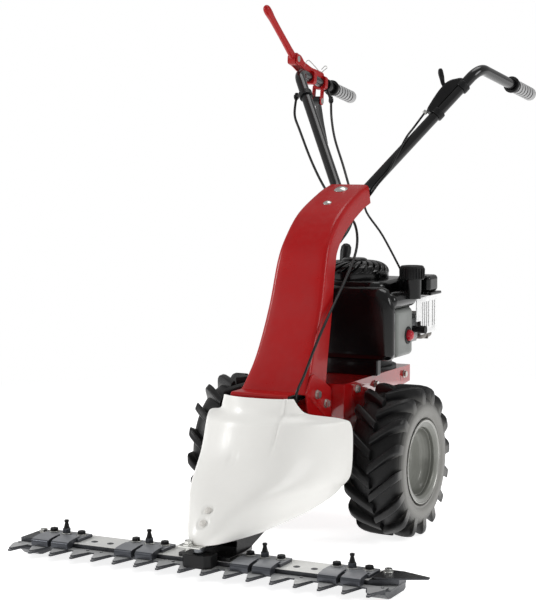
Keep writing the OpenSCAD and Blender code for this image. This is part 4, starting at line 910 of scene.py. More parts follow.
@dataclass
class Studio(SubAssembly):
    """Camera at the photograph's view, pale floor and soft light."""

    azimuth: float = 25.594
    elevation: float = 6.157
    distance: float = 3.5534
    target: Triple = (0.0, -0.075, 0.450)
    focal_px: float = 1610.1
    middle_px: tuple[float, float] = (319.66, 325.15)
    image_px: tuple[int, int] = (536, 600)
    sensor: float = 36.0
    floor_half: float = 14.0
    floor_glow: float = 0.8
    floor_fade: tuple[float, float] = (1.0, 2.4)
    ambient: float = 0.4
    mirrored: float = 0.38

    def build(self) -> None:
        """Sets the camera, the floor, the lamps and the world."""
        bpy.context.scene.view_settings.view_transform = "Standard"
        self.camera()
        self.floor()
        self.lamps()
        self.world()

    def camera(self) -> None:
        """Places the camera and shifts it to the photograph's middle."""
        side, rise = math.radians(self.azimuth), math.radians(self.elevation)
        back = Vector((math.sin(side) * math.cos(rise), -math.cos(side) * math.cos(rise), math.sin(rise)))
        long_side = max(self.image_px)
        data = bpy.data.cameras.new("camera")
        data.sensor_width = self.sensor
        data.lens = self.focal_px / long_side * self.sensor
        data.shift_x = (self.image_px[0] / 2 - self.middle_px[0]) / long_side
        data.shift_y = (self.middle_px[1] - self.image_px[1] / 2) / long_side
        camera = in_scene(bpy.data.objects.new("camera", data))
        camera.location = Vector(self.target) + back * self.distance
        camera.rotation_euler = back.to_track_quat("Z", "Y").to_euler()
        bpy.context.scene.camera = camera

    def floor(self) -> None:
        """Lays a pale floor that keeps the shadow near the machine and turns white far from it."""
        build = bmesh.new()
        h = self.floor_half
        build.faces.new([build.verts.new((x, y, 0)) for x, y in ((-h, -h), (h, -h), (h, h), (-h, h))])
        mesh = bpy.data.meshes.new("floor")
        build.to_mesh(mesh)
        build.free()
        mesh.materials.append(self.paper())
        floor = in_scene(bpy.data.objects.new("floor", mesh))

    def paper(self) -> bpy.types.Material:
        """Makes the floor's material.

        Returns:
            White paper that glows a little under the machine and fully far from it.
        """
        material = bpy.data.materials.new("floor_paper")
        material.use_nodes = True
        sheet = NodeSheet(material.node_tree)
        near = sheet.feed(sheet.tree.nodes["Principled BSDF"], {
            "Base Color": (0.82, 0.82, 0.82, 1), "Roughness": 1.0, "Specular IOR Level": 0.0,
            "Emission Color": (1, 1, 1, 1), "Emission Strength": self.floor_glow,
        })
        far = sheet.add("ShaderNodeEmission")
        away = sheet.vector("LENGTH", sheet.spot()).outputs["Value"]
        share = sheet.spread(away, *self.floor_fade)
        both = sheet.add("ShaderNodeMixShader", {0: share, 1: near.outputs[0], 2: far.outputs[0]})
        sheet.feed(sheet.tree.nodes["Material Output"], {"Surface": both.outputs[0]})
        return material

    def lamps(self) -> None:
        """Hangs three large soft lamps."""
        for name, spot, size, power in (
            ("key", (-3.7, -2.5, 2.7), 1.8, 110.0),
            ("fill", (3.9, 0.4, 2.1), 1.8, 46.0),
            ("top", (0.2, 0.9, 4.0), 2.2, 34.0),
        ):
            data = bpy.data.lights.new(name, "AREA")
            data.shape = "DISK"
            data.size = size
            data.energy = power
            lamp = in_scene(bpy.data.objects.new(name, data))
            lamp.location = spot
            lamp.rotation_euler = (Vector(spot) - Vector(self.target)).to_track_quat("Z", "Y").to_euler()

    def world(self) -> None:
        """Surrounds the object with a white that the camera sees in full and the object more softly."""
        world = bpy.data.worlds.new("studio")
        bpy.context.scene.world = world
        world.use_nodes = True
        sheet = NodeSheet(world.node_tree)
        ray = sheet.add("ShaderNodeLightPath").outputs
        seen = sheet.math("MAXIMUM", ray["Is Camera Ray"], ray["Is Transmission Ray"])
        gloss = sheet.math("MULTIPLY", ray["Is Glossy Ray"], self.mirrored - self.ambient)
        strength = sheet.math("MAXIMUM", seen, sheet.math("ADD", gloss, self.ambient))
        sheet.feed(sheet.tree.nodes["Background"], {"Color": (1, 1, 1, 1), "Strength": strength})


@dataclass
class ControlCables(SubAssembly):
    """Three sheathed cables from the controls to the blade idler, the gearbox and the carburettor."""

    radius: float = 3.0
    thin_radius: float = 2.5
    end_run: float = 6.0
    steps: int = 6
    sides: int = 16
    blade: tuple[Triple, ...] = (
        (-232, 352, 958), (-220, 320, 918), (-196, 300, 880), (-140, 250, 806), (-84, 204, 746),
        (-30, 172, 700), (20, 140, 670), (46, 96, 618), (64, 0, 556), (74, -104, 490), (76, -176, 430),
        (76, -232, 372), (73, -262, 338), (66, -246, 308), (60, -196, 276.2),
    )
    drive: tuple[Triple, ...] = (
        (-206, 496, 952), (-194, 474, 912), (-150, 400, 860), (-84, 310, 790), (-34, 244, 720),
        (-10, 190, 668), (-6, 120, 628), (-14, 30, 580), (-34, -36, 480), (-75, -60, 390),
        (-75, -60, 326), (-77, -32, 271.2), (-78, -24, 241.2),
    )
    throttle: tuple[Triple, ...] = ((26, 186, 702), (60, 211, 638), (98, 240, 544.2))
    ties: tuple[tuple[float, float], ...] = ((0.48, 0), (0.4, 40), (0.3, 80), (0.18, 120), (0.04, 140))

    def build(self) -> None:
        self.cable("blade_cable", self.settled(self.blade), self.radius)
        self.cable("drive_cable", self.settled(self.drive), self.radius)
        self.cable("throttle_cable", self.throttle_route(), self.thin_radius)

    def settled(self, stops: Iterable[Sequence[float]]) -> list[Vector]:
        """Gives a smooth route through stops, which comes straight down on the last one."""
        *way, seat = (Vector(stop) for stop in stops)
        return [*curve([*way, seat + Vector((0, 0, self.end_run))], self.steps), seat]

    def throttle_route(self) -> list[Vector]:
        """Lays the cable from the throttle, wound round its tube, to the carburettor.

        Returns:
            Points of the drawing along the cable's middle.
        """
        bar = Handlebar()
        start = bar.throttle_point(0.0, bar.cable_rise, -(bar.throttle_length / 2 + 0.2))
        wound = [bar.tied(share, angle, self.radius) for share, angle in self.ties]
        return [start, *self.settled([start - self.end_run * bar.climb(), *wound, *self.throttle])]

    def cable(self, name: str, route: list[Vector], radius: float) -> None:
        """Builds one cable.

        Args:
            name: Name of the piece.
            route: Points of the drawing along its middle.
            radius: Radius of the sheath in millimetres.
        """
        path = [drawn(*p) for p in route]
        piece = seated(swept_piece(name, "cable_black", path, radius, self.sides), "cables")


@dataclass
class Handlebar(SubAssembly):
    """Two bent tubes with grips, the clamp, the levers and the throttle."""

    points: tuple[Triple, ...] = ((32, 84, 713), (32, 166, 738), (234, 367, 1023), (246, 704, 973))
    tube_radius: float = 12.5
    cable_rise: float = 22.5
    tie_gap: float = 2.5
    wall: float = 2.0
    bend: float = 52.0
    bend_steps: int = 14
    sides: int = 32
    grip_length: float = 140.0
    grip_radius: float = 16.5
    grip_ribs: int = 6
    throttle_share: float = 0.74
    throttle_length: float = 112.0
    throttle_hub: tuple[float, float] = (28.5, 16.0)
    throttle_slot: tuple[float, float] = (-4.0, 48.0)
    slot_half: float = 3.5
    hump_half: float = 11.0
    hump_rim: float = 6.0
    clamp_width: float = 16.0
    clamp_wall: float = 4.0
    mount_half: float = 13.0
    mount_clamps: tuple[float, float] = (62.0, 132.0)
    pin_radii: tuple[float, float] = (4.9, 7.5)
    pin_head: tuple[float, float] = (9.792, 13.26)
    spring_x: float = -232.0
    spring_wire: float = 1.1
    lever_pivot: Triple = (-244, 366, 1055)
    lever_length: float = 190.0
    lever_angle: float = 143.0
    lever_bore: float = 5.1
    lever_hub: tuple[float, float] = (15.0, 9.0)
    lobe_half: float = 6.0
    cheek: float = 3.5
    drive_pivot: Triple = (-244, 498, 957)

    def build(self) -> None:
        """Builds the tubes and grips and finishes the other pieces."""
        self.tubes()
        self.grips()
        softened("handle_clamp", 1.2 * MM)
        self.blade_lever()
        self.hook_spring()
        self.lever_mount()
        softened("drive_lever", 2.4 * MM, 3)
        self.throttle_body()
        self.throttle_lever()
        softened("cable_stops", 0.6 * MM)

    def side_points(self, side: int) -> list[Vector]:
        """Gives the tube's corner points on one side."""
        return [Vector((side * x, y, z)) for x, y, z in self.points]

    def climb(self) -> Vector:
        """Gives the direction of the rising run of the tube that carries the throttle."""
        return (Vector(self.points[2]) - Vector(self.points[1])).normalized()

    def throttle_axes(self) -> tuple[Vector, Vector]:
        """Gives the direction away from the tube and the one across it."""
        across = self.climb().cross(Vector((-0.8, -0.3, 0.4))).normalized()
        return across.cross(self.climb()), across

    def throttle_point(self, across: float, away: float, along: float) -> Vector:
        """Gives a point in the throttle's own directions.

        Args:
            across: Millimetres across the tube.
            away: Millimetres away from the tube's middle.
            along: Millimetres up the tube from the throttle's middle.

        Returns:
            The point of the drawing.
        """
        out, side = self.throttle_axes()
        start = Vector(self.points[1]).lerp(Vector(self.points[2]), self.throttle_share)
        return start + out * away + side * across + self.climb() * along

    def tied(self, share: float, angle: float, cable: float) -> Vector:
        """Gives the point beside the rising tube where a cable is tied on.

        Args:
            share: Place along the tube's rising run, from 0 to 1.
            angle: Degrees around the tube.
            cable: Radius of the cable.

        Returns:
            The point of the drawing.
        """
        out, side = self.throttle_axes()
        turn = math.radians(angle)
        away = self.tube_radius + cable + self.tie_gap
        middle = Vector(self.points[1]).lerp(Vector(self.points[2]), share)
        return middle + away * (math.cos(turn) * out + math.sin(turn) * side)

    def blade_lever(self) -> None:
        """Builds the red lever: a hub with a rear lobe and a tapered rod with a round end."""
        pivot = Vector(self.lever_pivot)
        turn = math.radians(self.lever_angle)
        along = Vector((0, math.cos(turn), math.sin(turn)))
        across = TO_LEFT.cross(along)
        build = bmesh.new()
        bore = self.lever_bore
        skin, end = self.lever_hub
        hub = [(bore, -end), (skin, -end), (skin, end), (bore, end)]
        place = aimed(drawn(*pivot), TO_LEFT)
        lathe(build, hub, place, 48, 2.5, 4, True)
        profile = [
            (8, 10.5, 7.6), (26, 10, 7.6), (60, 9, 7.6), (110, 8.4, 7.6), (146, 8.6, 8), (160, 10, 8.8),
            (172, 11, 9), (181, 10, 8.4), (186.5, 7.6, 6.4), (189.2, 4.2, 3.6),
            (self.lever_length, 1, 1),
        ]
        rings = []
        for reach, wide, deep in curve(profile, 4):
            middle = pivot + along * reach
            steps = [across * wide * math.cos(a) + TO_LEFT * deep * math.sin(a) for a in full_turn(28)]
            rings.append([drawn(*(middle + step)) for step in steps])
        bridge(build, rings, capped=True)
        seated(finished("blade_lever.rod", build, "red_paint"))
        lobe = bmesh.new()
        outline = filleted([(8, -9), (8, 12), (17, 11), (22, 4), (17, -6)], 4, 5, True)
        sides = (pivot.x - self.lobe_half, pivot.x + self.lobe_half)
        panel(lobe, *sides, [(pivot.y + y, pivot.z + z) for y, z in outline])
        seated(round_edges(finished("blade_lever.lobe", lobe, "red_paint"), 2 * MM, 3))

    def lever_mount(self) -> None:
        """Builds the red bracket of both levers: cheeks, tube clamps, legs and pins."""
        build, pins = bmesh.new(), bmesh.new()
        x, _, z = self.lever_pivot
        low = self.drive_pivot
        corner = self.side_points(-1)[2]
        rear = (self.side_points(-1)[3] - corner).normalized()
        cheek = [
            (354, z - 11), (355, z + 8), (366, z + 12), (379, z + 9), (398, z - 6), (440, z - 18),
            (500, z - 26), (509, z - 31), (509, z - 44), (496, z - 46), (440, z - 37), (404, z - 28),
            (376, z - 16),
        ]
        leg = [
            (495, 997), (511, 996), (low[1] + 8, low[2] + 8), (low[1] + 10, low[2] - 4),
            (low[1], low[2] - 12), (low[1] - 10, low[2] - 4), (low[1] - 8, low[2] + 8),
        ]
        for side in (x - self.mount_half, x + self.mount_half - self.cheek):
            for outline in (cheek, leg):
                panel(build, side, side + self.cheek, filleted(outline, 6, 4, True))
        half = self.tube_radius + self.clamp_wall
        square = filleted([(half, half), (-half, half), (-half, -half), (half, -half)], 9, 6, True)
        for start in self.mount_clamps:
            ends = (start, start + self.clamp_width)
            places = [aimed(drawn(*(corner + along * rear)), rear) for along in ends]
            rings = [[place @ Vector((a * MM, b * MM, 0)) for a, b in square] for place in places]
            bridge(build, rings, capped=True)
        seated(round_edges(finished("lever_mount.finished", build, "red_paint"), 1.2 * MM, 3))
        shank, skin = self.pin_radii
        neck, end = self.pin_head
        head = [(0, end), (skin, end), (skin, neck), (shank, neck)]
        pin = [(r, -z) for r, z in head] + list(reversed(head))
        for spot in (self.lever_pivot, low):
            lathe(pins, pin, aimed(drawn(*spot), TO_LEFT), 32)
        seated(finished("lever_mount.pins", pins, "zinc"))

    def hook_spring(self) -> None:
        """Builds the thin wire hook beside the blade lever."""
        points = (
            (397, 1036), (402, 1046), (414, 1053), (428, 1053), (460, 1040), (490, 1028), (510, 1034),
            (527, 1041), (517, 1045), (496, 1036),
        )
        path = [drawn(self.spring_x, *p) for p in curve(points, 5)]
        seated(swept_piece("lever_mount.spring", "zinc", path, self.spring_wire, 10))

    def throttle_body(self) -> None:
        """Builds the throttle's hump in two halves around the lever's slot, its clamps and its ferrule."""
        half = self.throttle_length / 2
        crest = [
            (-half, 19), (-half + 3, 24), (-44, 26.5), (-26, 30), (-6, 33), (10, 34), (24, 33.4),
            (36, 29.5), (46, 23), (half - 3, 18), (half, 14),
        ]
        rows = curve(crest, 4)
        build = bmesh.new()
        slot, side = self.slot_half, self.hump_half
        self.hump(build, rows, -side, -slot, (1, 0))
        self.hump(build, rows, slot, side, (0, 1))
        low, high = self.throttle_slot
        self.hump(build, [r for r in rows if r[0] <= low], -slot, slot)
        self.hump(build, [r for r in rows if r[0] >= high - 4], -slot, slot)
        bore, skin, end = self.tube_radius + 0.1, self.tube_radius + self.clamp_wall, self.clamp_width
        for start in (-half + 4, half - 4 - end):
            place = aimed(drawn(*self.throttle_point(0, 0, start)), self.climb())
            lathe(build, [(bore, 0), (skin, 0), (skin, end), (bore, end)], place, 40, 1.5, 3, True)
        seated(finished("throttle_body.hump", build, "engine_matte", SOFT))
        ferrule = [(2.6, -9), (5, -9), (5.4, -8), (5.4, -1), (2.6, -1)]
        place = aimed(drawn(*self.throttle_point(0, self.cable_rise, -half)), self.climb())
        turned_piece("throttle_body.ferrule", "zinc", ferrule, place, 32, 0.6, 3, True)

    def hump(
        self, build: Build, rows: list[Vector], start: float, end: float, rims: tuple[int, int] = (0, 0)
    ) -> None:
        """Adds a strip of the throttle's hump.

        Args:
            build: The mesh under construction.
            rows: Place along the tube and height of the crest.
            start: Where the strip starts across.
            end: Where it ends across.
            rims: Whether the upper edges at its start and its end are round.
        """
        base = self.tube_radius - 3.5
        rings = []
        for along, crest in rows:
            ring = [(start, base), (end, base)]
            for edge, rim, way in ((end, rims[1], 1), (start, rims[0], -1)):
                size = self.hump_rim * rim
                trims = [(size * (1 - math.cos(a)), size * (1 - math.sin(a))) for a in quarter_turn(5)]
                bow = [(edge - way * across, crest - down) for across, down in trims]
                ring += bow if way > 0 else list(reversed(bow))
            rings.append([drawn(*self.throttle_point(x, away, along)) for x, away in ring])
        bridge(build, rings, capped=True)

    def throttle_lever(self) -> None:
        """Builds the throttle's thumb lever: a hub in the slot and a broad tab."""
        away, along = self.throttle_hub
        spine = [
            (4, 1, 2.6, 4.6), (11, 4, 2.6, 4.8), (16, 8, 3.2, 5.2), (21, 12, 6.0, 5.6), (28, 17, 7.2, 5.8),
            (33, 21, 7.4, 5.4), (36.4, 23.6, 6.2, 4.0), (37.4, 24.4, 4.4, 2.4),
        ]
        rings = []
        rows = curve(spine, 3)
        for i, (out, up, wide, deep) in enumerate(rows):
            d = heading([Vector((r[0], r[1])) for r in rows], i)
            ring = []
            for a in full_turn(24):
                c, b = math.cos(a), math.sin(a)
                x = wide * math.copysign(abs(c) ** 0.5, c)
                t = deep * math.copysign(abs(b) ** 0.5, b)
                ring.append(drawn(*self.throttle_point(x, away + out - d.y * t, along + up + d.x * t)))
            rings.append(ring)
        build = bmesh.new()
        bridge(build, rings, capped=True)
        hub = [(2.1, -2.6), (7, -2.6), (7, 2.6), (2.1, 2.6)]
        _, side = self.throttle_axes()
        place = aimed(drawn(*self.throttle_point(0, away, along)), side)
        lathe(build, hub, place, 32, 0.8, 3, True)
        seated(finished("throttle_lever.tab", build, "engine_matte"))

    def bent(self, corners: list[Vector]) -> list[Vector]:
        """Joins straight runs by round bends.

        Args:
            corners: Corner points of the drawing.

        Returns:
            Points along the tube.
        """
        path = [corners[0]]
        for before, here, after in zip(corners, corners[1:], corners[2:]):
            d, e = (here - before).normalized(), (after - here).normalized()
            turn = math.acos(d.dot(e))
            inward = (e - d * math.cos(turn)).normalized()
            start = here - self.bend * math.tan(turn / 2) * d
            for k in range(self.bend_steps + 1):
                a = turn * k / self.bend_steps
                path.append(start + self.bend * ((1 - math.cos(a)) * inward + math.sin(a) * d))
        return [*path, corners[-1]]

    def tubes(self) -> None:
        """Builds both tubes with their open ends."""
        build = bmesh.new()
        for side in (-1, 1):
            path = [drawn(*p) for p in self.bent(self.side_points(side))]
            outer = swept(path, self.tube_radius * MM, self.sides)
            inner = swept(path, (self.tube_radius - self.wall) * MM, self.sides)
            bridge(build, [*outer, *reversed(inner)], closed=True)
        seated(round_edges(finished("handle_tubes.finished", build, "black_paint"), 0.4 * MM))

    def darken_grooves(self, build: Build, place: Matrix, limit: float, start: float) -> None:
        """Gives the grooves of a grip its second finish.

        Args:
            build: The mesh under construction.
            place: Where the grip's axis lies.
            limit: Radius below which a face lies in a groove.
            start: Where the ribs start along the grip.
        """
        back = place.inverted()
        for face in build.faces:
            spot = back @ face.calc_center_median()
            on_skin = self.tube_radius * MM + 1e-3 < math.hypot(spot.x, spot.y) < limit
            if on_skin and start < spot.z < (self.grip_length - 12) * MM:
                face.material_index = 1

    def grips(self) -> None:
        """Builds the ribbed grips and their dark collars."""
        grip, collar = bmesh.new(), bmesh.new()
        r, length = self.grip_radius, self.grip_length
        bore, wall, foot = self.tube_radius + 0.05, 4.0, 13.0
        groove, pitch = r - 1.7, (length - 36) / self.grip_ribs
        ribs: Outline = []
        for i in range(self.grip_ribs):
            z = 22 + i * pitch
            ribs += [(groove, z), (groove, z + 0.26 * pitch), (r, z + 0.34 * pitch), (r, z + 0.92 * pitch)]
        body = [
            (bore, foot), (r, foot), *ribs, (r, length - 8), (r - 1, length - 4), (r - 5, length),
            (0, length), (0, length - wall), (bore, length - wall),
        ]
        ring = [(bore, 0), (r + 3, 0), (r + 4, 4.5), (r + 3, 9), (r, foot), (bore, foot)]
        for side in (-1, 1):
            bend, end = self.side_points(side)[2:]
            rear = (end - bend).normalized()
            place = aimed(drawn(*end) + rear * (wall - length) * MM, rear)
            lathe(grip, body, place, 64, 0.9, 3, True)
            lathe(collar, ring, place, 64, 2, 4, True)
            self.darken_grooves(grip, place, (r - 1.2) * MM, foot * MM)
        seated(finished("grips.finished", grip, "grip_rubber", SHARP, "engine_matte"))
        seated(finished("grip_collars", collar, "engine_matte"), "grips")


@dataclass
class Wheel(SubAssembly):
    """Lugged tyre on a dished rim."""

    side: int
    tyre: str
    rim: str
    width: float = 126.0
    lug_height: float = 14.0
    lug_width: float = 14.0
    square: float = 0.86
    lug_count: int = 16
    lug_lean: float = 40.0
    bead_radius: float = 77.3
    bead_half: float = 50.0
    wall: float = 8.0
    rim_lip: float = 15.0
    rim_wall: float = 3.0
    rim_band: float = 7.0
    valve_at: float = 47.0
    turn_steps: int = 120
    hub_radius: float = 21.0
    hub_span: tuple[float, float] = (-46.0, 22.0)
    axle_radius: float = 12.55

    def build(self) -> None:
        """Builds the carcass, its two rows of lugs and the rim."""
        self.carcass()
        for row in (1, -1):
            self.lug_row(row)
        self.rim_pressing()

    @property
    def radius(self) -> float:
        """Outside radius of the tyre in millimetres."""
        return AXLE.z / MM

    @property
    def carcass_radius(self) -> float:
        """Radius of the tyre between its lugs in millimetres."""
        return self.radius - self.lug_height

    @property
    def place(self) -> Matrix:
        """Matrix from the wheel's own axes, in metres, to the frame; the outer side is +Z."""
        turn = Matrix(((0, 0, self.side), (0, 1, 0), (-1, 0, 0))).to_4x4()
        return Matrix.Translation(centre(self.tyre)) @ turn

    def section(self, degrees: float, inset: float) -> tuple[float, float]:
        """Gives the radius and sideways place of a point of the tyre's wall.

        Args:
            degrees: Angle around the section, 0 at the outer side and 90 at the tread.
            inset: Millimetres towards the inside.

        Returns:
            Radius and sideways place in millimetres.
        """
        middle = (self.carcass_radius + self.bead_radius) / 2
        half = (self.carcass_radius - self.bead_radius) / 2 - inset
        rise, run = math.sin(math.radians(degrees)), math.cos(math.radians(degrees))
        up = math.copysign(abs(rise) ** self.square, rise)
        out = math.copysign(abs(run) ** self.square, run)
        return middle + half * up, (self.width / 2 - inset) * out

    def wall_rings(self, degrees: float) -> float:
        """Gives how far the moulded rings of the side wall stand proud.

        Args:
            degrees: Angle around the section.

        Returns:
            Millimetres outwards.
        """
        inward = degrees if abs(degrees) < 90 else 180 - degrees
        rings = ((-24, 3.0, 1.8), (20, 2.2, 0.9), (27, 2.0, 1.4))
        return sum(h * math.exp(-((inward - at) / w) ** 2) for at, w, h in rings) if inward < 60 else 0.0

    def carcass(self) -> None:
        """Builds the tyre's body, with side walls painted lighter near the axle as painted light."""
        outer = [self.section(a, -self.wall_rings(a)) for a in range(-40, 221, 2)]
        inner = [self.section(a, self.wall) for a in range(220, -41, -13)]
        bead, heel = self.bead_radius, self.bead_half
        toe = heel - self.wall
        build = bmesh.new()
        profile = [(bead, toe), (bead, heel), *outer, (bead, -heel), (bead, -toe), *inner]
        lathe(build, profile, self.place, self.turn_steps, closed=True)
        seated(finished(f"{self.tyre}.carcass", build, "tyre_wall", SOFT))

    def lug_row(self, row: int) -> None:
        """Builds one row of lugs as a ring of copies.

        Args:
            row: 1 for the outer row, -1 for the inner one.
        """
        tread = self.radius
        stations = (
            (-2.0, tread), (6.0, tread), (20.0, tread), (0.3 * self.width, tread),
            (0.39 * self.width, tread - 1.5), (0.44 * self.width, tread - 4),
            (0.47 * self.width, tread - 8), (0.487 * self.width, tread - 14),
            (0.492 * self.width, tread - 20),
        )
        rings = []
        lean = math.tan(math.radians(self.lug_lean))
        slant = math.cos(math.radians(self.lug_lean))
        for place, top in stations:
            shift = -(place - 0.24 * self.width) * lean
            share = min(1.0, abs(place) / (self.width / 2)) ** (1 / self.square)
            middle = (self.carcass_radius + self.bead_radius) / 2
            base = middle + (self.carcass_radius - middle) * (1 - share ** 2) ** (self.square / 2) - 4
            half = self.lug_width / 2
            foot = (half + 2.5, min(base, top - 6))
            flank = ((half - 2.6, top), (half - 1.0, top - 0.4), (half + 0.7, top - 2.4), foot)
            section = [*((-x, z) for x, z in reversed(flank)), *flank]
            ring = []
            for across, radius in section:
                turn = (shift + across / slant) / tread
                ring.append(Vector((radius * math.cos(turn), radius * math.sin(turn), row * place)) * MM)
            rings.append(ring)
        lug = lofted("lug", "tyre_rubber", rings, 42.0)
        phase = 0.5 / self.lug_count if row > 0 else 0.0
        name = f"{self.tyre}.lugs_{'outer' if row > 0 else 'inner'}"
        seated(ring_of(name, lug, self.lug_count, self.place, phase))

    def rim_pressing(self) -> None:
        """Builds the rim: its barrel with a lip painted lighter as a painted highlight, the dished disc with
        its hub, and the valve.
        """
        bore, skin = self.axle_radius, self.hub_radius
        seat = self.bead_radius - 0.3
        well = seat - 10
        half = self.bead_half + 10
        lip = seat + self.rim_lip
        outer = [
            (lip, half), (lip - 3, half - 3), (seat + 4, half - 4.5), (seat, half - 6), (seat, 36),
            (well, 28),
        ]
        barrel = [*outer, *((r, -z) for r, z in reversed(outer))]
        bowl = [
            (seat - 3, 48), (seat - 4, 42), (seat - 7, 35), (seat - 12, 29), (seat - 20, 25),
            (seat - 32, 22.5), (seat - 46, 21.5), (bore + 4, 21.5), (bore, 19),
        ]
        low, high = self.hub_span
        hub = [(bore, low), (skin, low), (skin, high - 3), (bore, high - 3)]
        rings, disc = bmesh.new(), bmesh.new()
        for build, loop, edge in (
            (rings, thick(list(reversed(barrel)), -self.rim_wall), 1.4),
            (disc, thick(bowl, self.rim_wall), 1.2),
            (disc, hub, 2.0),
        ):
            lathe(build, loop, self.place, self.turn_steps, edge, 3, True)
        middle = centre(self.rim)
        # The barrel's outer band takes the lighter lip finish as a painted highlight.
        for face in rings.faces:
            spot = face.calc_center_median() - middle
            face.material_index = int(math.hypot(spot.y, spot.z) < (lip - self.rim_band) * MM)
        seated(finished(f"{self.rim}.barrel", rings, "rim_lip", SHARP, "rim_paint"))
        seated(finished(f"{self.rim}.disc", disc, "rim_paint"))
        stem = [(0, 0), (7.5, 0), (7.5, 1.5), (5, 3), (4, 4), (3.6, 13), (3, 14), (0, 14)]
        spot = self.place @ Matrix.Translation(Vector((0, -self.valve_at, 22.5)) * MM)
        turned_piece(f"{self.rim}.valve", "cable_black", stem, spot, 32, 0.8)


@dataclass
class Column(SubAssembly):
    """Bent channel that carries the handlebar, with its gusset plates."""

    foot_width: float = 160.0
    top_width: float = 100.0
    sheet: float = 3.0
    bend: float = 10.0
    steps: int = 14
    low: float = 254.0
    toe: tuple[float, float] = (-269.0, 330.5)
    toe_end: float = 56.0

    def build(self) -> None:
        """Builds the channel, its toe and both gussets as one welded piece."""
        path = curve(self.stations(), self.steps)
        build = bmesh.new()
        sheet_between(build, self.grid(path, 0.0), self.grid(path, self.sheet))
        front, top = self.toe
        toe = [(-222, top), (front + 2.5, top), (front, top - 2), (front, top - 14)]
        panel(build, 4 - self.foot_width / 2, self.toe_end, thick(filleted(toe, 5), self.sheet))
        base = [(-105, 330), (-105, self.low), (-196, self.low), (-222, self.low + 40), (-226, 331)]
        for side, crest in ((-1, [(-205, 340), (-150, 338)]), (1, [(-196, 372), (-150, 352)])):
            middle = side * (self.foot_width / 2 - 3.5)
            panel(build, middle - 2, middle + 2, filleted([*base, *crest], 12, 5, True))
        piece = finished("column.finished", build, "red_paint")
        seated(round_edges(piece, 0.9 * MM, 3))

    def stations(self) -> list[tuple[float, ...]]:
        """Gives the stations up the column.

        Returns:
            Back, height, width and flange depth of each one.
        """
        def width(share: float) -> float:
            """Blends from the foot's width to the top's."""
            return self.foot_width + (self.top_width - self.foot_width) * share

        return [
            (-226, 330, width(0), 104), (-180, 400, width(0.4), 84), (-127, 500, width(0.54), 58),
            (-92, 600, width(0.68), 50), (-58, 652, width(0.8), 47), (2, 700, width(0.84), 46),
            (96, 741, width(0.95), 45), (152, 757, width(1), 44),
        ]

    def grid(self, path: list[Vector], inset: float) -> list[list[Vector]]:
        """Gives the channel's sections along its path, for the outer face or one that is set in."""
        spine = [Vector((p[0], p[1])) for p in path]
        return [self.channel(path[i], heading(spine, i), inset) for i in range(len(path))]

    def channel(self, station: Vector, along: Vector, inset: float) -> list[Vector]:
        """Gives one U section of the channel.

        Args:
            station: Back, height, width and flange depth.
            along: Direction of the path, back and up.
            inset: 0 for the outer face, the sheet's thickness for the inner one.

        Returns:
            Points of the frame from the left flange to the right one.
        """
        half, depth = station[2] / 2, station[3]
        corner, radius = half - self.bend, self.bend - inset
        bow = [(corner + radius * math.cos(a), self.bend - radius * math.sin(a)) for a in quarter_turn(8)]
        left = [(half - inset, self.bend + (depth - self.bend) * (1 - k / 4)) for k in range(4)] + bow
        flat = [(corner * (1 - k / 4), inset) for k in range(1, 4)]
        right = [(-x, y) for x, y in reversed(left)]
        flat += [(0.0, inset)] + [(-x, y) for x, y in reversed(flat)]
        across = Vector((along.y, -along.x))
        return [
            drawn(x, station[0] + y * across.x, station[1] + y * across.y) for x, y in (*left, *flat, *right)
        ]


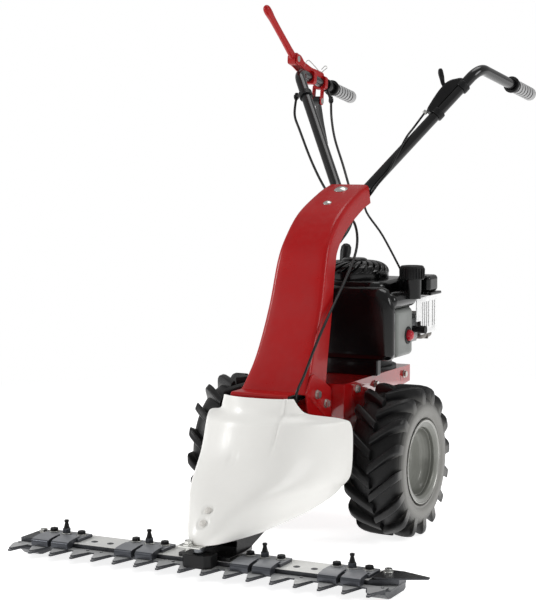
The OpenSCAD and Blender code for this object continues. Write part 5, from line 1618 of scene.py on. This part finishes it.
@dataclass
class FrontGuard(SubAssembly):
    """Moulded white shell in front of the drive, with the pockets of its screws."""

    half_width: float = 172.0
    wall: float = 3.0
    steps: int = 8
    columns: int = 84
    top_y: float = -312.0
    nose_y: float = -545.0
    wing_y: float = -200.0
    screws: tuple[Triple, ...] = ((0, -502.6, 136), (0, -524, 115), (-7, -393.5, 215))
    pocket_radius: float = 14.0
    pocket_depth: float = 1.6
    pocket_slope: float = 0.707
    crease_x: float = 66.0
    crease_depth: float = 3.2
    crease_width: float = 3.0
    crease_foot: float = 216.0
    crease_fade: float = 40.0

    def build(self) -> None:
        """Builds the shell and dresses it."""
        path = curve(self.stations(), self.steps)
        build = bmesh.new()
        sheet_between(build, self.grid(path, 0.0), self.grid(path, self.wall))
        piece = finished("front_guard.finished", build, "white_shell", SOFT)
        seated(round_edges(piece, 1.2 * MM, 3, SOFT))
        # The screw heads are painted grey as the shade in their pockets.
        softened("guard_bolts", 0.5 * MM, 2, "plug_grey")

    def stations(self) -> list[tuple[float, ...]]:
        """Gives the stations down the guard.

        Returns:
            Height, nose, half width and wing end of each one.
        """
        h, wing = self.half_width, self.wing_y

        def nose(share: float) -> float:
            """Blends from the upper edge to the nose."""
            return self.top_y + (self.nose_y - self.top_y) * share

        return [
            (331, nose(0), 0.47 * h, wing - 90), (313, nose(0.06), 0.52 * h, wing - 82),
            (298, nose(0.1), 0.6 * h, wing - 66), (284, nose(0.15), 0.9 * h, wing - 14),
            (268, nose(0.19), 0.985 * h, wing), (215, nose(0.35), h, wing),
            (165, nose(0.65), 0.97 * h, wing), (140, nose(0.8), 0.86 * h, wing),
            (115, nose(0.91), 0.72 * h, wing - 6), (94, nose(0.975), 0.58 * h, wing - 82),
            (76, nose(1), 0.37 * h, self.nose_y + 155),
        ]

    def grid(self, path: list[Vector], inset: float) -> list[list[Vector]]:
        """Gives the rows of points of one face of the shell."""
        n = self.columns
        return [[self.point(station, k / n, inset) for k in range(-n, n + 1)] for station in path]

    def point(self, station: Vector, share: float, inset: float) -> Vector:
        """Gives a point of the shell, with the crease and the pockets pressed into it.

        Args:
            station: Height, nose, half width and wing end.
            share: Place across, from -1 to 1.
            inset: 0 for the outer face, the wall's thickness for the inner one.

        Returns:
            The point in the frame.
        """
        height, nose, half, wing = station
        x = (half - inset) * share
        front = nose + inset
        y = front + (wing + 0.4 * inset - front) * abs(share) ** 2.6
        z = height - 0.5 * inset
        y += self.crease(x, z)
        sunk = self.pocket_slope * self.pocket(x, y, z)
        return drawn(x, y + sunk, z - sunk)

    def crease(self, x: float, z: float) -> float:
        """Gives the depth of the moulded crease below the cable's notch."""
        fade = max(0.0, min(1.0, (z - self.crease_foot) / self.crease_fade))
        return self.crease_depth * fade * math.exp(-((x - self.crease_x) / self.crease_width) ** 2)

    def pocket(self, x: float, y: float, z: float) -> float:
        """Gives how deep the round pockets of the screws are at a point.

        Args:
            x: Millimetres across.
            y: Millimetres behind the axle.
            z: Millimetres above the ground.

        Returns:
            Depth in millimetres.
        """
        deep = 0.0
        for screw_x, screw_y, screw_z in self.screws:
            away = math.hypot(x - screw_x, (y - screw_y + z - screw_z) * self.pocket_slope)
            deep = max(deep, self.pocket_depth * max(0.0, min(1.0, (self.pocket_radius - away) / 2)))
        return deep


@dataclass
class Engine(SubAssembly):
    """Small vertical shaft engine with its tank, covers, filters and starter."""

    crank: tuple[float, float] = (10, 165)
    deck: float = 338.0
    housing: tuple[tuple[float, float], tuple[float, float]] = ((-86, 72), (116, 262))
    housing_span: tuple[float, float] = (466.0, 544.0)
    housing_corner: float = 30.0
    dome_radius: float = 78.0
    dome_top: float = 590.0
    louvres: int = 22
    louvre_sweep: float = 34.0
    tank_low: Triple = (-40, 36, 372)
    tank_high: Triple = (156, 70, 534)
    tank_rounding: tuple[float, ...] = (11, 22, 14, 11)
    tank_end: float = 16.0
    tank_shoulder: float = 38.0
    neck: tuple[float, float] = (157, 152)
    neck_top: float = 554.0
    arm_height: float = 503.0
    cap_radius: float = 29.0
    cap_ribs: int = 24
    cover_low: Triple = (104, 190, 514)
    cover_high: Triple = (184, 246, 552)
    cover_ribs: int = 7
    rib_pitch: float = 10.0
    cleaner_front: float = 150.0
    muffler_low: Triple = (90, 242, 400)
    muffler_high: Triple = (148, 304, 460)
    rope_radius: float = 2.2
    grip_at: tuple[float, float] = (-56, 236)
    pull: Triple = (0.0, 0.34893, 0.93715)

    def build(self) -> None:
        """Builds the covers and finishes the rest."""
        self.blower_housing()
        self.starter_dome()
        self.fuel_tank()
        self.fuel_cap()
        self.air_cleaner()
        self.primer()
        self.muffler()
        self.starter_rope()
        for node, width in (
            ("crankcase", 1.2), ("engine_cylinder", 0.5), ("spark_plug", 0.6), ("muffler_guard", 0.5),
            ("oil_filler", 0.8), ("oil_cap", 1.5), ("starter_grip", 1.5), ("crankshaft", 0.5),
            ("engine_pulley", 0.5), ("flywheel", 0.5),
        ):
            softened(node, width * MM)

    def outline(self, inset: float, height: float, count: int = 96) -> list[Vector]:
        """Gives a level outline of the blower housing.

        Args:
            inset: Millimetres that it is drawn in.
            height: Height in millimetres.
            count: Points around it.

        Returns:
            Points of the frame, by angle around the crank.
        """
        (x0, y0), (x1, y1) = self.housing
        half = Vector(((x1 - x0) / 2, (y1 - y0) / 2))
        middle = Vector(((x1 + x0) / 2, (y1 + y0) / 2))
        radius = max(1.0, self.housing_corner - inset)
        core = half - Vector((inset + radius, inset + radius))
        points = []
        for a in full_turn(count):
            turn = Vector((math.cos(a), math.sin(a)))
            reach = min((half[i] - inset) / max(1e-9, abs(turn[i])) for i in range(2))
            spot = turn * reach
            inner = Vector((max(-core.x, min(core.x, spot.x)), max(-core.y, min(core.y, spot.y))))
            spot = inner + (spot - inner).normalized() * radius
            points.append(drawn(middle.x + spot.x, middle.y + spot.y, height))
        return points

    def circle(self, radius: float, height: float, count: int = 96) -> list[Vector]:
        """Gives a level circle around the crank."""
        x, y = self.crank
        return [drawn(x + radius * math.cos(a), y + radius * math.sin(a), height) for a in full_turn(count)]

    def blower_housing(self) -> None:
        """Builds the housing, open above and below the flywheel, and the ribbed cover beside it."""
        low, high = self.housing_span
        edge, wall, hole = 12.0, 3.0, 66.0
        rings = [self.circle(hole, low), self.outline(1.5, low), self.outline(0, low + 1.5)]
        rim = [(edge * math.cos(a), edge * math.sin(a)) for a in quarter_turn(6)]
        rings += [self.outline(edge - out, high - edge + up) for out, up in rim]
        rings += [self.circle(hole, high), self.circle(hole, high - wall), self.outline(edge, high - wall)]
        rings += [
            self.outline(wall, high - edge), self.outline(wall, low + wall), self.circle(hole, low + wall),
        ]
        build = bmesh.new()
        bridge(build, rings, closed=True)
        rounded_block(build, drawn(*self.cover_low), drawn(*self.cover_high), 9 * MM)
        x0, y0, z0 = self.cover_low
        x1, y1, _ = self.cover_high
        rounded_block(build, drawn(x0, y0 - 4, z0 - 6), drawn(x1 + 6, y1 + 4, z0 + 0.5), 2 * MM)
        for k in range(self.cover_ribs):
            x = x0 + 14 + self.rib_pitch * k
            rounded_block(build, drawn(x, y0 - 5.5, z0 - 5), drawn(x + 4, y0 + 2, z0 + 1.5), 1 * MM)
        seated(finished("blower_housing.finished", build, "engine_gloss"))

    def dome_profile(self, share: float) -> tuple[float, float]:
        """Gives a point along the dome's outside.

        Args:
            share: Place from its foot, 0, to its cap, 1.

        Returns:
            Radius and height above the housing in millimetres.
        """
        rise = self.dome_top - self.housing_span[1]
        a = math.radians(90 * share)
        return 30 + (self.dome_radius - 30) * math.cos(a) ** 0.8, rise * (0.3 + 0.56 * math.sin(a))

    def starter_dome(self) -> None:
        """Builds the dome from its foot ring, its cap and a ring of curved louvres over a dark bowl."""
        rise = self.dome_top - self.housing_span[1]
        foot = drawn(*self.crank, self.housing_span[1])
        place = Matrix.Translation(foot)
        r = self.dome_radius
        ring = [
            (r, 0), (r, 0.32 * rise), (r - 2, 0.4 * rise), (r - 7, 0.4 * rise), (r - 5, 0.3 * rise),
            (r - 5, 0),
        ]
        cap = [(0, rise), (22, rise), (27, rise - 2), (32, 0.82 * rise), (32, 0.74 * rise), (0, 0.74 * rise)]
        bowl = [(r - 4, 0.02 * rise), (r - 6, 0.26 * rise)]
        bowl += [(p[0] - 5, p[1] - 5) for p in (self.dome_profile(k / 6) for k in range(1, 7))]
        bowl += [(0, 0.72 * rise), (0, 0.02 * rise)]
        build = bmesh.new()
        lathe(build, ring, place, 96, 1.5, 3, True)
        lathe(build, cap, place, 96, 1.5, 3)
        seated(finished("starter_dome.rings", build, "engine_gloss"))
        turned_piece("starter_dome.bowl", "engine_matte", bowl, place, 96)
        seated(ring_of("starter_dome.louvres", self.louvre(), self.louvres, place))

    def louvre(self) -> Piece:
        """Builds one curved louvre of the dome.

        Returns:
            The louvre, placed about an axis at the origin.
        """
        half = 0.64 * math.pi / self.louvres
        corners = ((-half, 0), (-0.8 * half, 0.8), (0.8 * half, 0.8), (half, 0), (half, -6), (-half, -6))
        rings = []
        for k in range(13):
            share = k / 12
            radius, height = self.dome_profile(share)
            sweep = math.radians(self.louvre_sweep * share)
            spots = [(radius + up, sweep + a, height + 0.6 * up) for a, up in corners]
            rings.append([Vector((r * math.cos(a), r * math.sin(a), z)) * MM for r, a, z in spots])
        return lofted("louvre", "engine_gloss", rings)

    def fuel_tank(self) -> None:
        """Builds the blow moulded tank with its foot, its arm and its filler neck."""
        x0, y0, z0 = self.tank_low
        x1, _, _ = self.tank_high
        r = self.tank_end
        turns = quarter_turn(6)
        spots = [(x0 + r * (1 - math.cos(a)), r * (1 - math.sin(a))) for a in turns]
        spots += [(x0 + r + (x1 - x0 - 2 * r) * k / 40, 0.0) for k in range(1, 40)]
        spots += [(x1 - r * (1 - math.cos(a)), r * (1 - math.sin(a))) for a in reversed(turns)]
        rings = [self.tank_ring(x, inset) for x, inset in spots]
        build = bmesh.new()
        bridge(build, rings, capped=True)
        rounded_block(build, drawn(x0 + 24, y0 + 8, self.deck), drawn(x1 - 36, y0 + 28, z0 + 2), 3 * MM)
        reach = self.neck[1] + 32 - y0 - 10
        end = [(0, 0), (11, 1.5), (16.5, 6), (19, 13)]
        arm = [*end, *((size, reach - away) for size, away in reversed(end))]
        turned = aimed(drawn(self.neck[0] - 16, y0 + 10, self.arm_height), TO_BACK)
        lathe(build, arm, turned, 48, 3, 3)
        rise = self.neck_top - self.arm_height
        neck = [(0, 0), (21, 0), (21, rise), (17, rise), (17, rise - 13), (0, rise - 13)]
        place = Matrix.Translation(drawn(*self.neck, self.arm_height))
        lathe(build, neck, place, 48)
        seated(finished("fuel_tank.finished", build, "engine_gloss"))

    def tank_ring(self, x: float, inset: float) -> list[Vector]:
        """Gives the tank's upright section.

        Args:
            x: Where it lies across.
            inset: Millimetres that it is drawn in.

        Returns:
            Points of the frame from the upper rear corner on.
        """
        (x0, y0, z0), (x1, y1, z1) = self.tank_low, self.tank_high
        size = self.tank_shoulder
        past = max(0.0, size - min(x - x0, x1 - x))
        z1 -= size - math.sqrt(size ** 2 - past ** 2)
        corners = ((y1, z1, 1, 1), (y0, z1, -1, 1), (y0, z0, -1, -1), (y1, z0, 1, -1))
        ring = []
        for i, ((y, z, back, up), r) in enumerate(zip(corners, self.tank_rounding)):
            for k in range(9):
                turn = math.radians(90 * i + 90 * k / 8)
                reach = max(r, inset)
                spot = Vector((y - back * reach, z - up * reach))
                spot += (reach - inset) * Vector((math.cos(turn), math.sin(turn)))
                ring.append(drawn(x, spot.x, spot.y))
        return ring

    def fuel_cap(self) -> None:
        """Builds the cap with a ring of ribs."""
        r = self.cap_radius
        foot = Matrix.Translation(drawn(*self.neck, self.neck_top))
        skin = [
            (21.4, -8), (r - 2, -8), (r - 2, 20), (r - 5, 23), (16, 23), (14, 21), (0, 21), (0, 0.2),
            (21.4, 0.2),
        ]
        turned_piece("fuel_cap.finished", "engine_matte", skin, foot, 72, 1.6)
        rings = []
        for z, out in ((-6, -2.4), (-5, -0.2), (15, 0), (17.5, -1.0), (19, -3)):
            corners = ((r + out, -1.1), (r + out, 1.1), (r - 4, 1.8), (r - 4, -1.8))
            rings.append([Vector((x, y, z)) * MM for x, y in corners])
        source = lofted("rib", "engine_matte", rings, 60.0)
        seated(ring_of("fuel_cap.ribs", source, self.cap_ribs, foot))

    def air_cleaner(self) -> None:
        """Builds the filter box and the primer's collar."""
        low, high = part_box("air_cleaner")
        face = centre("primer_bulb")
        front = Vector((self.cleaner_front * MM, high.y, high.z))
        box = bmesh.new()
        rounded_block(box, low, front, 11 * MM)
        seated(finished("air_cleaner.finished", box, "cleaner_grey"))
        ring = [(13, -6), (20, -6), (20, 1), (18.6, 2.2), (14, 2.2), (13, 1)]
        place = aimed(Vector((front.x, face.y, face.z)), TO_LEFT)
        turned_piece("air_cleaner.collar", "engine_matte", ring, place, 48, 1, 3, True)

    def primer(self) -> None:
        """Builds the soft primer bulb."""
        low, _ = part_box("primer_bulb")
        middle = centre("primer_bulb")
        skin = [(0, 0), (12.6, 0), (12.6, 7), (11.4, 11), (8, 14.8), (3.4, 16.2), (0, 16.3)]
        place = aimed(Vector((low.x, middle.y, middle.z)), TO_LEFT)
        turned_piece("primer_bulb.finished", "primer_red", skin, place, 48, 2, 4)

    def muffler(self) -> None:
        """Builds the pressed muffler with its seam and its outlet."""
        build = bmesh.new()
        (x0, y0, z0), (x1, y1, z1) = self.muffler_low, self.muffler_high
        seam = y0 + 28
        for low, high, radius in (
            ((x0, y0, z0), (x1, y1, z1), 10),
            ((x0 - 1.4, seam, z0 - 1), (x1 + 1, seam + 4, z1 + 1.4), 1.8),
            ((x0 + 16, y0 - 6, z0 + 22), (x0 + 36, y0 + 4, z0 + 42), 2),
        ):
            rounded_block(build, drawn(*low), drawn(*high), radius * MM)
        pipe = [(6.4, -2), (8, -2), (8, 4), (6.4, 4)]
        lathe(build, pipe, aimed(drawn(x0 + 30, y1, z0 + 16), TO_BACK), 32, closed=True)
        seated(finished("muffler.finished", build, "exhaust_steel"))

    def starter_rope(self) -> None:
        """Builds the rope that stretches between the housing and its grip."""
        start = drawn(*self.grip_at, self.housing_span[1] - 8)
        end = start + Vector(self.pull) * 20 * MM
        path = [start.lerp(end, k / 24) for k in range(25)]
        rope = swept_piece("starter_rope.finished", "rope_cord", path, self.rope_radius, 16)
        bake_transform(rope)
        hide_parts("starter_rope")


@dataclass
class CutterBar(SubAssembly):
    """Carrier bar, comb, knife, clips and the drive in front."""

    clips: tuple[float, ...] = (-361, -161, 102, 289)
    rivets: tuple[float, ...] = (-286, -248, 176, 214)
    front: float = -500.0
    top: float = 36.0
    clip_plate: float = 7.0
    clip_half: float = 49.0
    finger_half: float = 20.0
    finger_at: float = 24.0
    side_bolts: float = 34.0
    bolt_row: float = 44.0
    stud_row: float = 40.0
    rivet_row: float = 30.0
    tab_low: Triple = (-38, -558, 71)
    tab_high: Triple = (12, -520, 75.6)
    tab_bolt: Triple = (-19, -548, 75)
    pale: tuple[float, float] = (-402, 340)
    # Faces that face up less than this take the dark steel as painted shade.
    pale_slope: float = 0.7
    edges: tuple[tuple[str, float, str], ...] = (
        ("knife_head", 1.5, "engine_matte"), ("end_shoes", 1.2, "tooth_steel"), ("bar_flange", 1.0, ""),
        ("bar_bolts", 0.6, ""), ("nose_bracket", 0.8, ""), ("gear_case", 3.0, ""),
        ("swing_arm", 0.8, ""),
    )

    def build(self) -> None:
        """Builds the carrier and the clips and finishes the other pieces."""
        self.carrier()
        self.hold_downs()
        for node, width in (("comb", 0.5), ("knife", 0.35)):
            # The upward faces of the comb's and the knife's teeth take the lighter steel as a painted sheen.
            two_tone(softened(node, width * MM, 2, "tooth_steel"), "tooth_top", lambda f: f.normal.z > UPWARD)
        for node, width, look in self.edges:
            softened(node, width * MM, 3 if width > 1 else 2, look)
        self.hardware()
        self.nose_tab()

    def hardware(self) -> None:
        """Sets the washers, bolts, nuts and studs of the clips and the rivets of the bar."""
        seat = self.top + self.clip_plate
        pairs = [c + s for c in self.clips for s in (-self.side_bolts, self.side_bolts)]
        sides = [drawn(x, self.front + self.bolt_row, seat) for x in pairs]
        studs = [drawn(x, self.front + self.stud_row, seat) for x in self.clips]
        heads = [drawn(x, self.front + self.rivet_row, self.top) for x in self.rivets]
        washer = [(0, 0), (10.4, 0), (11, 0.6), (11, 2), (10.4, 2.6), (0, 2.6)]
        bolt = [(0, 2.5), (9.2, 2.5), (9.2, 7.4), (7.4, 9), (0, 9)]
        nut = [(0, 2.5), (9, 2.5), (9, 11), (7.6, 12), (0, 12)]
        stud = [
            (6.6, 11.5), (6, 14), (4.2, 21), (3.6, 24.5), (4.8, 25.6), (5, 28), (4.4, 29.6), (2.6, 30),
            (0, 30),
        ]
        rivet = [(0, 1.6), (4, 1.4), (6.6, 0.6), (7, 0), (0, 0)]
        for name, profile, segments, spots, look in (
            ("clip_bolts.washers", washer, 40, [*sides, *studs], "zinc"),
            ("clip_bolts.heads", bolt, 6, sides, "engine_matte"),
            ("clip_bolts.nuts", nut, 6, studs, "dark_steel"),
            ("clip_bolts.studs", stud, 28, studs, "engine_matte"),
            ("cutter_bar.rivets", rivet, 28, heads, "dark_steel"),
        ):
            build = bmesh.new()
            lathe(build, profile, Matrix.Identity(4), segments)
            source = finished("source", build, look, 30.0)
            seated(points_of(name, source, [Matrix.Translation(spot) for spot in spots]))

    def carrier(self) -> None:
        """Finishes the carrier bar: pale on top, its sides painted dark as painted shade, and dark at its two
        ends.
        """
        piece = softened("cutter_bar", 1.0 * MM)
        build = bmesh.new()
        build.from_mesh(piece.data)
        start, end = self.pale
        for x in self.pale:
            everything = [*build.verts, *build.edges, *build.faces]
            bmesh.ops.bisect_plane(build, geom=everything, plane_co=drawn(x, 0, 0), plane_no=(1, 0, 0))
        build.to_mesh(piece.data)
        build.free()

        def dark(face: bpy.types.MeshPolygon) -> bool:
            """Tells whether a face takes the dark steel: a side, as painted shade, or a face past the pale
            run.
            """
            return face.normal.z < self.pale_slope or not start < face.center.x / MM < end

        two_tone(piece, "tooth_steel", dark)

    def hold_downs(self) -> None:
        """Builds the double hold-down clips, each a plate with two fingers over the knife."""
        build = bmesh.new()
        y, z = self.front, self.top
        finger = [
            (y - 24, z - 8.4), (y - 24, z + 3), (y - 18, z + 7.5), (y + 4, z + 10), (y + 22, z + 10.5),
            (y + 22, z + 0.1), (y + 0.2, z + 0.1), (y - 2.8, z - 8.4),
        ]
        seat, lid = z + 0.1, z + self.clip_plate
        base = [(y + 10, seat), (y + 10, lid), (y + 62, lid), (y + 62, seat)]
        for c in self.clips:
            panel(build, c - self.clip_half, c + self.clip_half, base)
            for middle in (c - self.finger_at, c + self.finger_at):
                start, end = middle - self.finger_half, middle + self.finger_half
                panel(build, start, end, filleted(finger, 3, 3, True))
        piece = finished("knife_clips.finished", build, "dark_steel")
        # The clips' upward faces take the lighter steel as a painted sheen.
        two_tone(piece, "clip_top", lambda f: f.normal.z > UPWARD)
        seated(round_edges(piece, 1.2 * MM, 3))

    def nose_tab(self) -> None:
        """Builds the plated tab below the guard's nose with its bolt."""
        build = bmesh.new()
        rounded_block(build, drawn(*self.tab_low), drawn(*self.tab_high), 2 * MM)
        bolt = [(0, 0), (11, 0), (11, 2.4), (8, 2.4), (8, 9), (6.4, 10.4), (0, 10.4)]
        lathe(build, bolt, Matrix.Translation(drawn(*self.tab_bolt)), 6)
        seated(finished("nose_bracket.tab", build, "zinc"))


@dataclass
class Chassis(SubAssembly):
    """Tray, axle, gearbox and belt drive."""

    edges: tuple[tuple[str, float], ...] = (
        ("tray", 1.2), ("frame_bolts", 0.6), ("axle", 0.8), ("axle_bushes", 0.6), ("wheel_pins", 0.6),
        ("gearbox", 2.0), ("gearbox_pulley", 0.5), ("selector_arm", 0.5), ("blade_pulley", 0.5),
        ("blade_belt", 0.6), ("drive_belt", 0.6), ("idler_arm", 0.6), ("idler_wheel", 0.5),
    )

    def build(self) -> None:
        """Finishes the pieces of the chassis."""
        for node, width in self.edges:
            softened(node, width * MM, 3 if width > 1 else 2, "red_gloss" if node == "tray" else "")


def main() -> None:
    """Builds the sub-assemblies in order."""
    logging.basicConfig(level=logging.INFO, format="%(name)s: %(message)s")
    assemblies: list[SubAssembly] = [
        Studio(), ControlCables(), Handlebar(), Wheel(1, "tyre_left", "rim_left"),
        Wheel(-1, "tyre_right", "rim_right"), Column(), FrontGuard(), Engine(), CutterBar(), Chassis(),
    ]
    for assembly in assemblies:
        assembly.build()
        LOG.info("built %s", type(assembly).__name__)


if __name__ == "__main__":
    main()
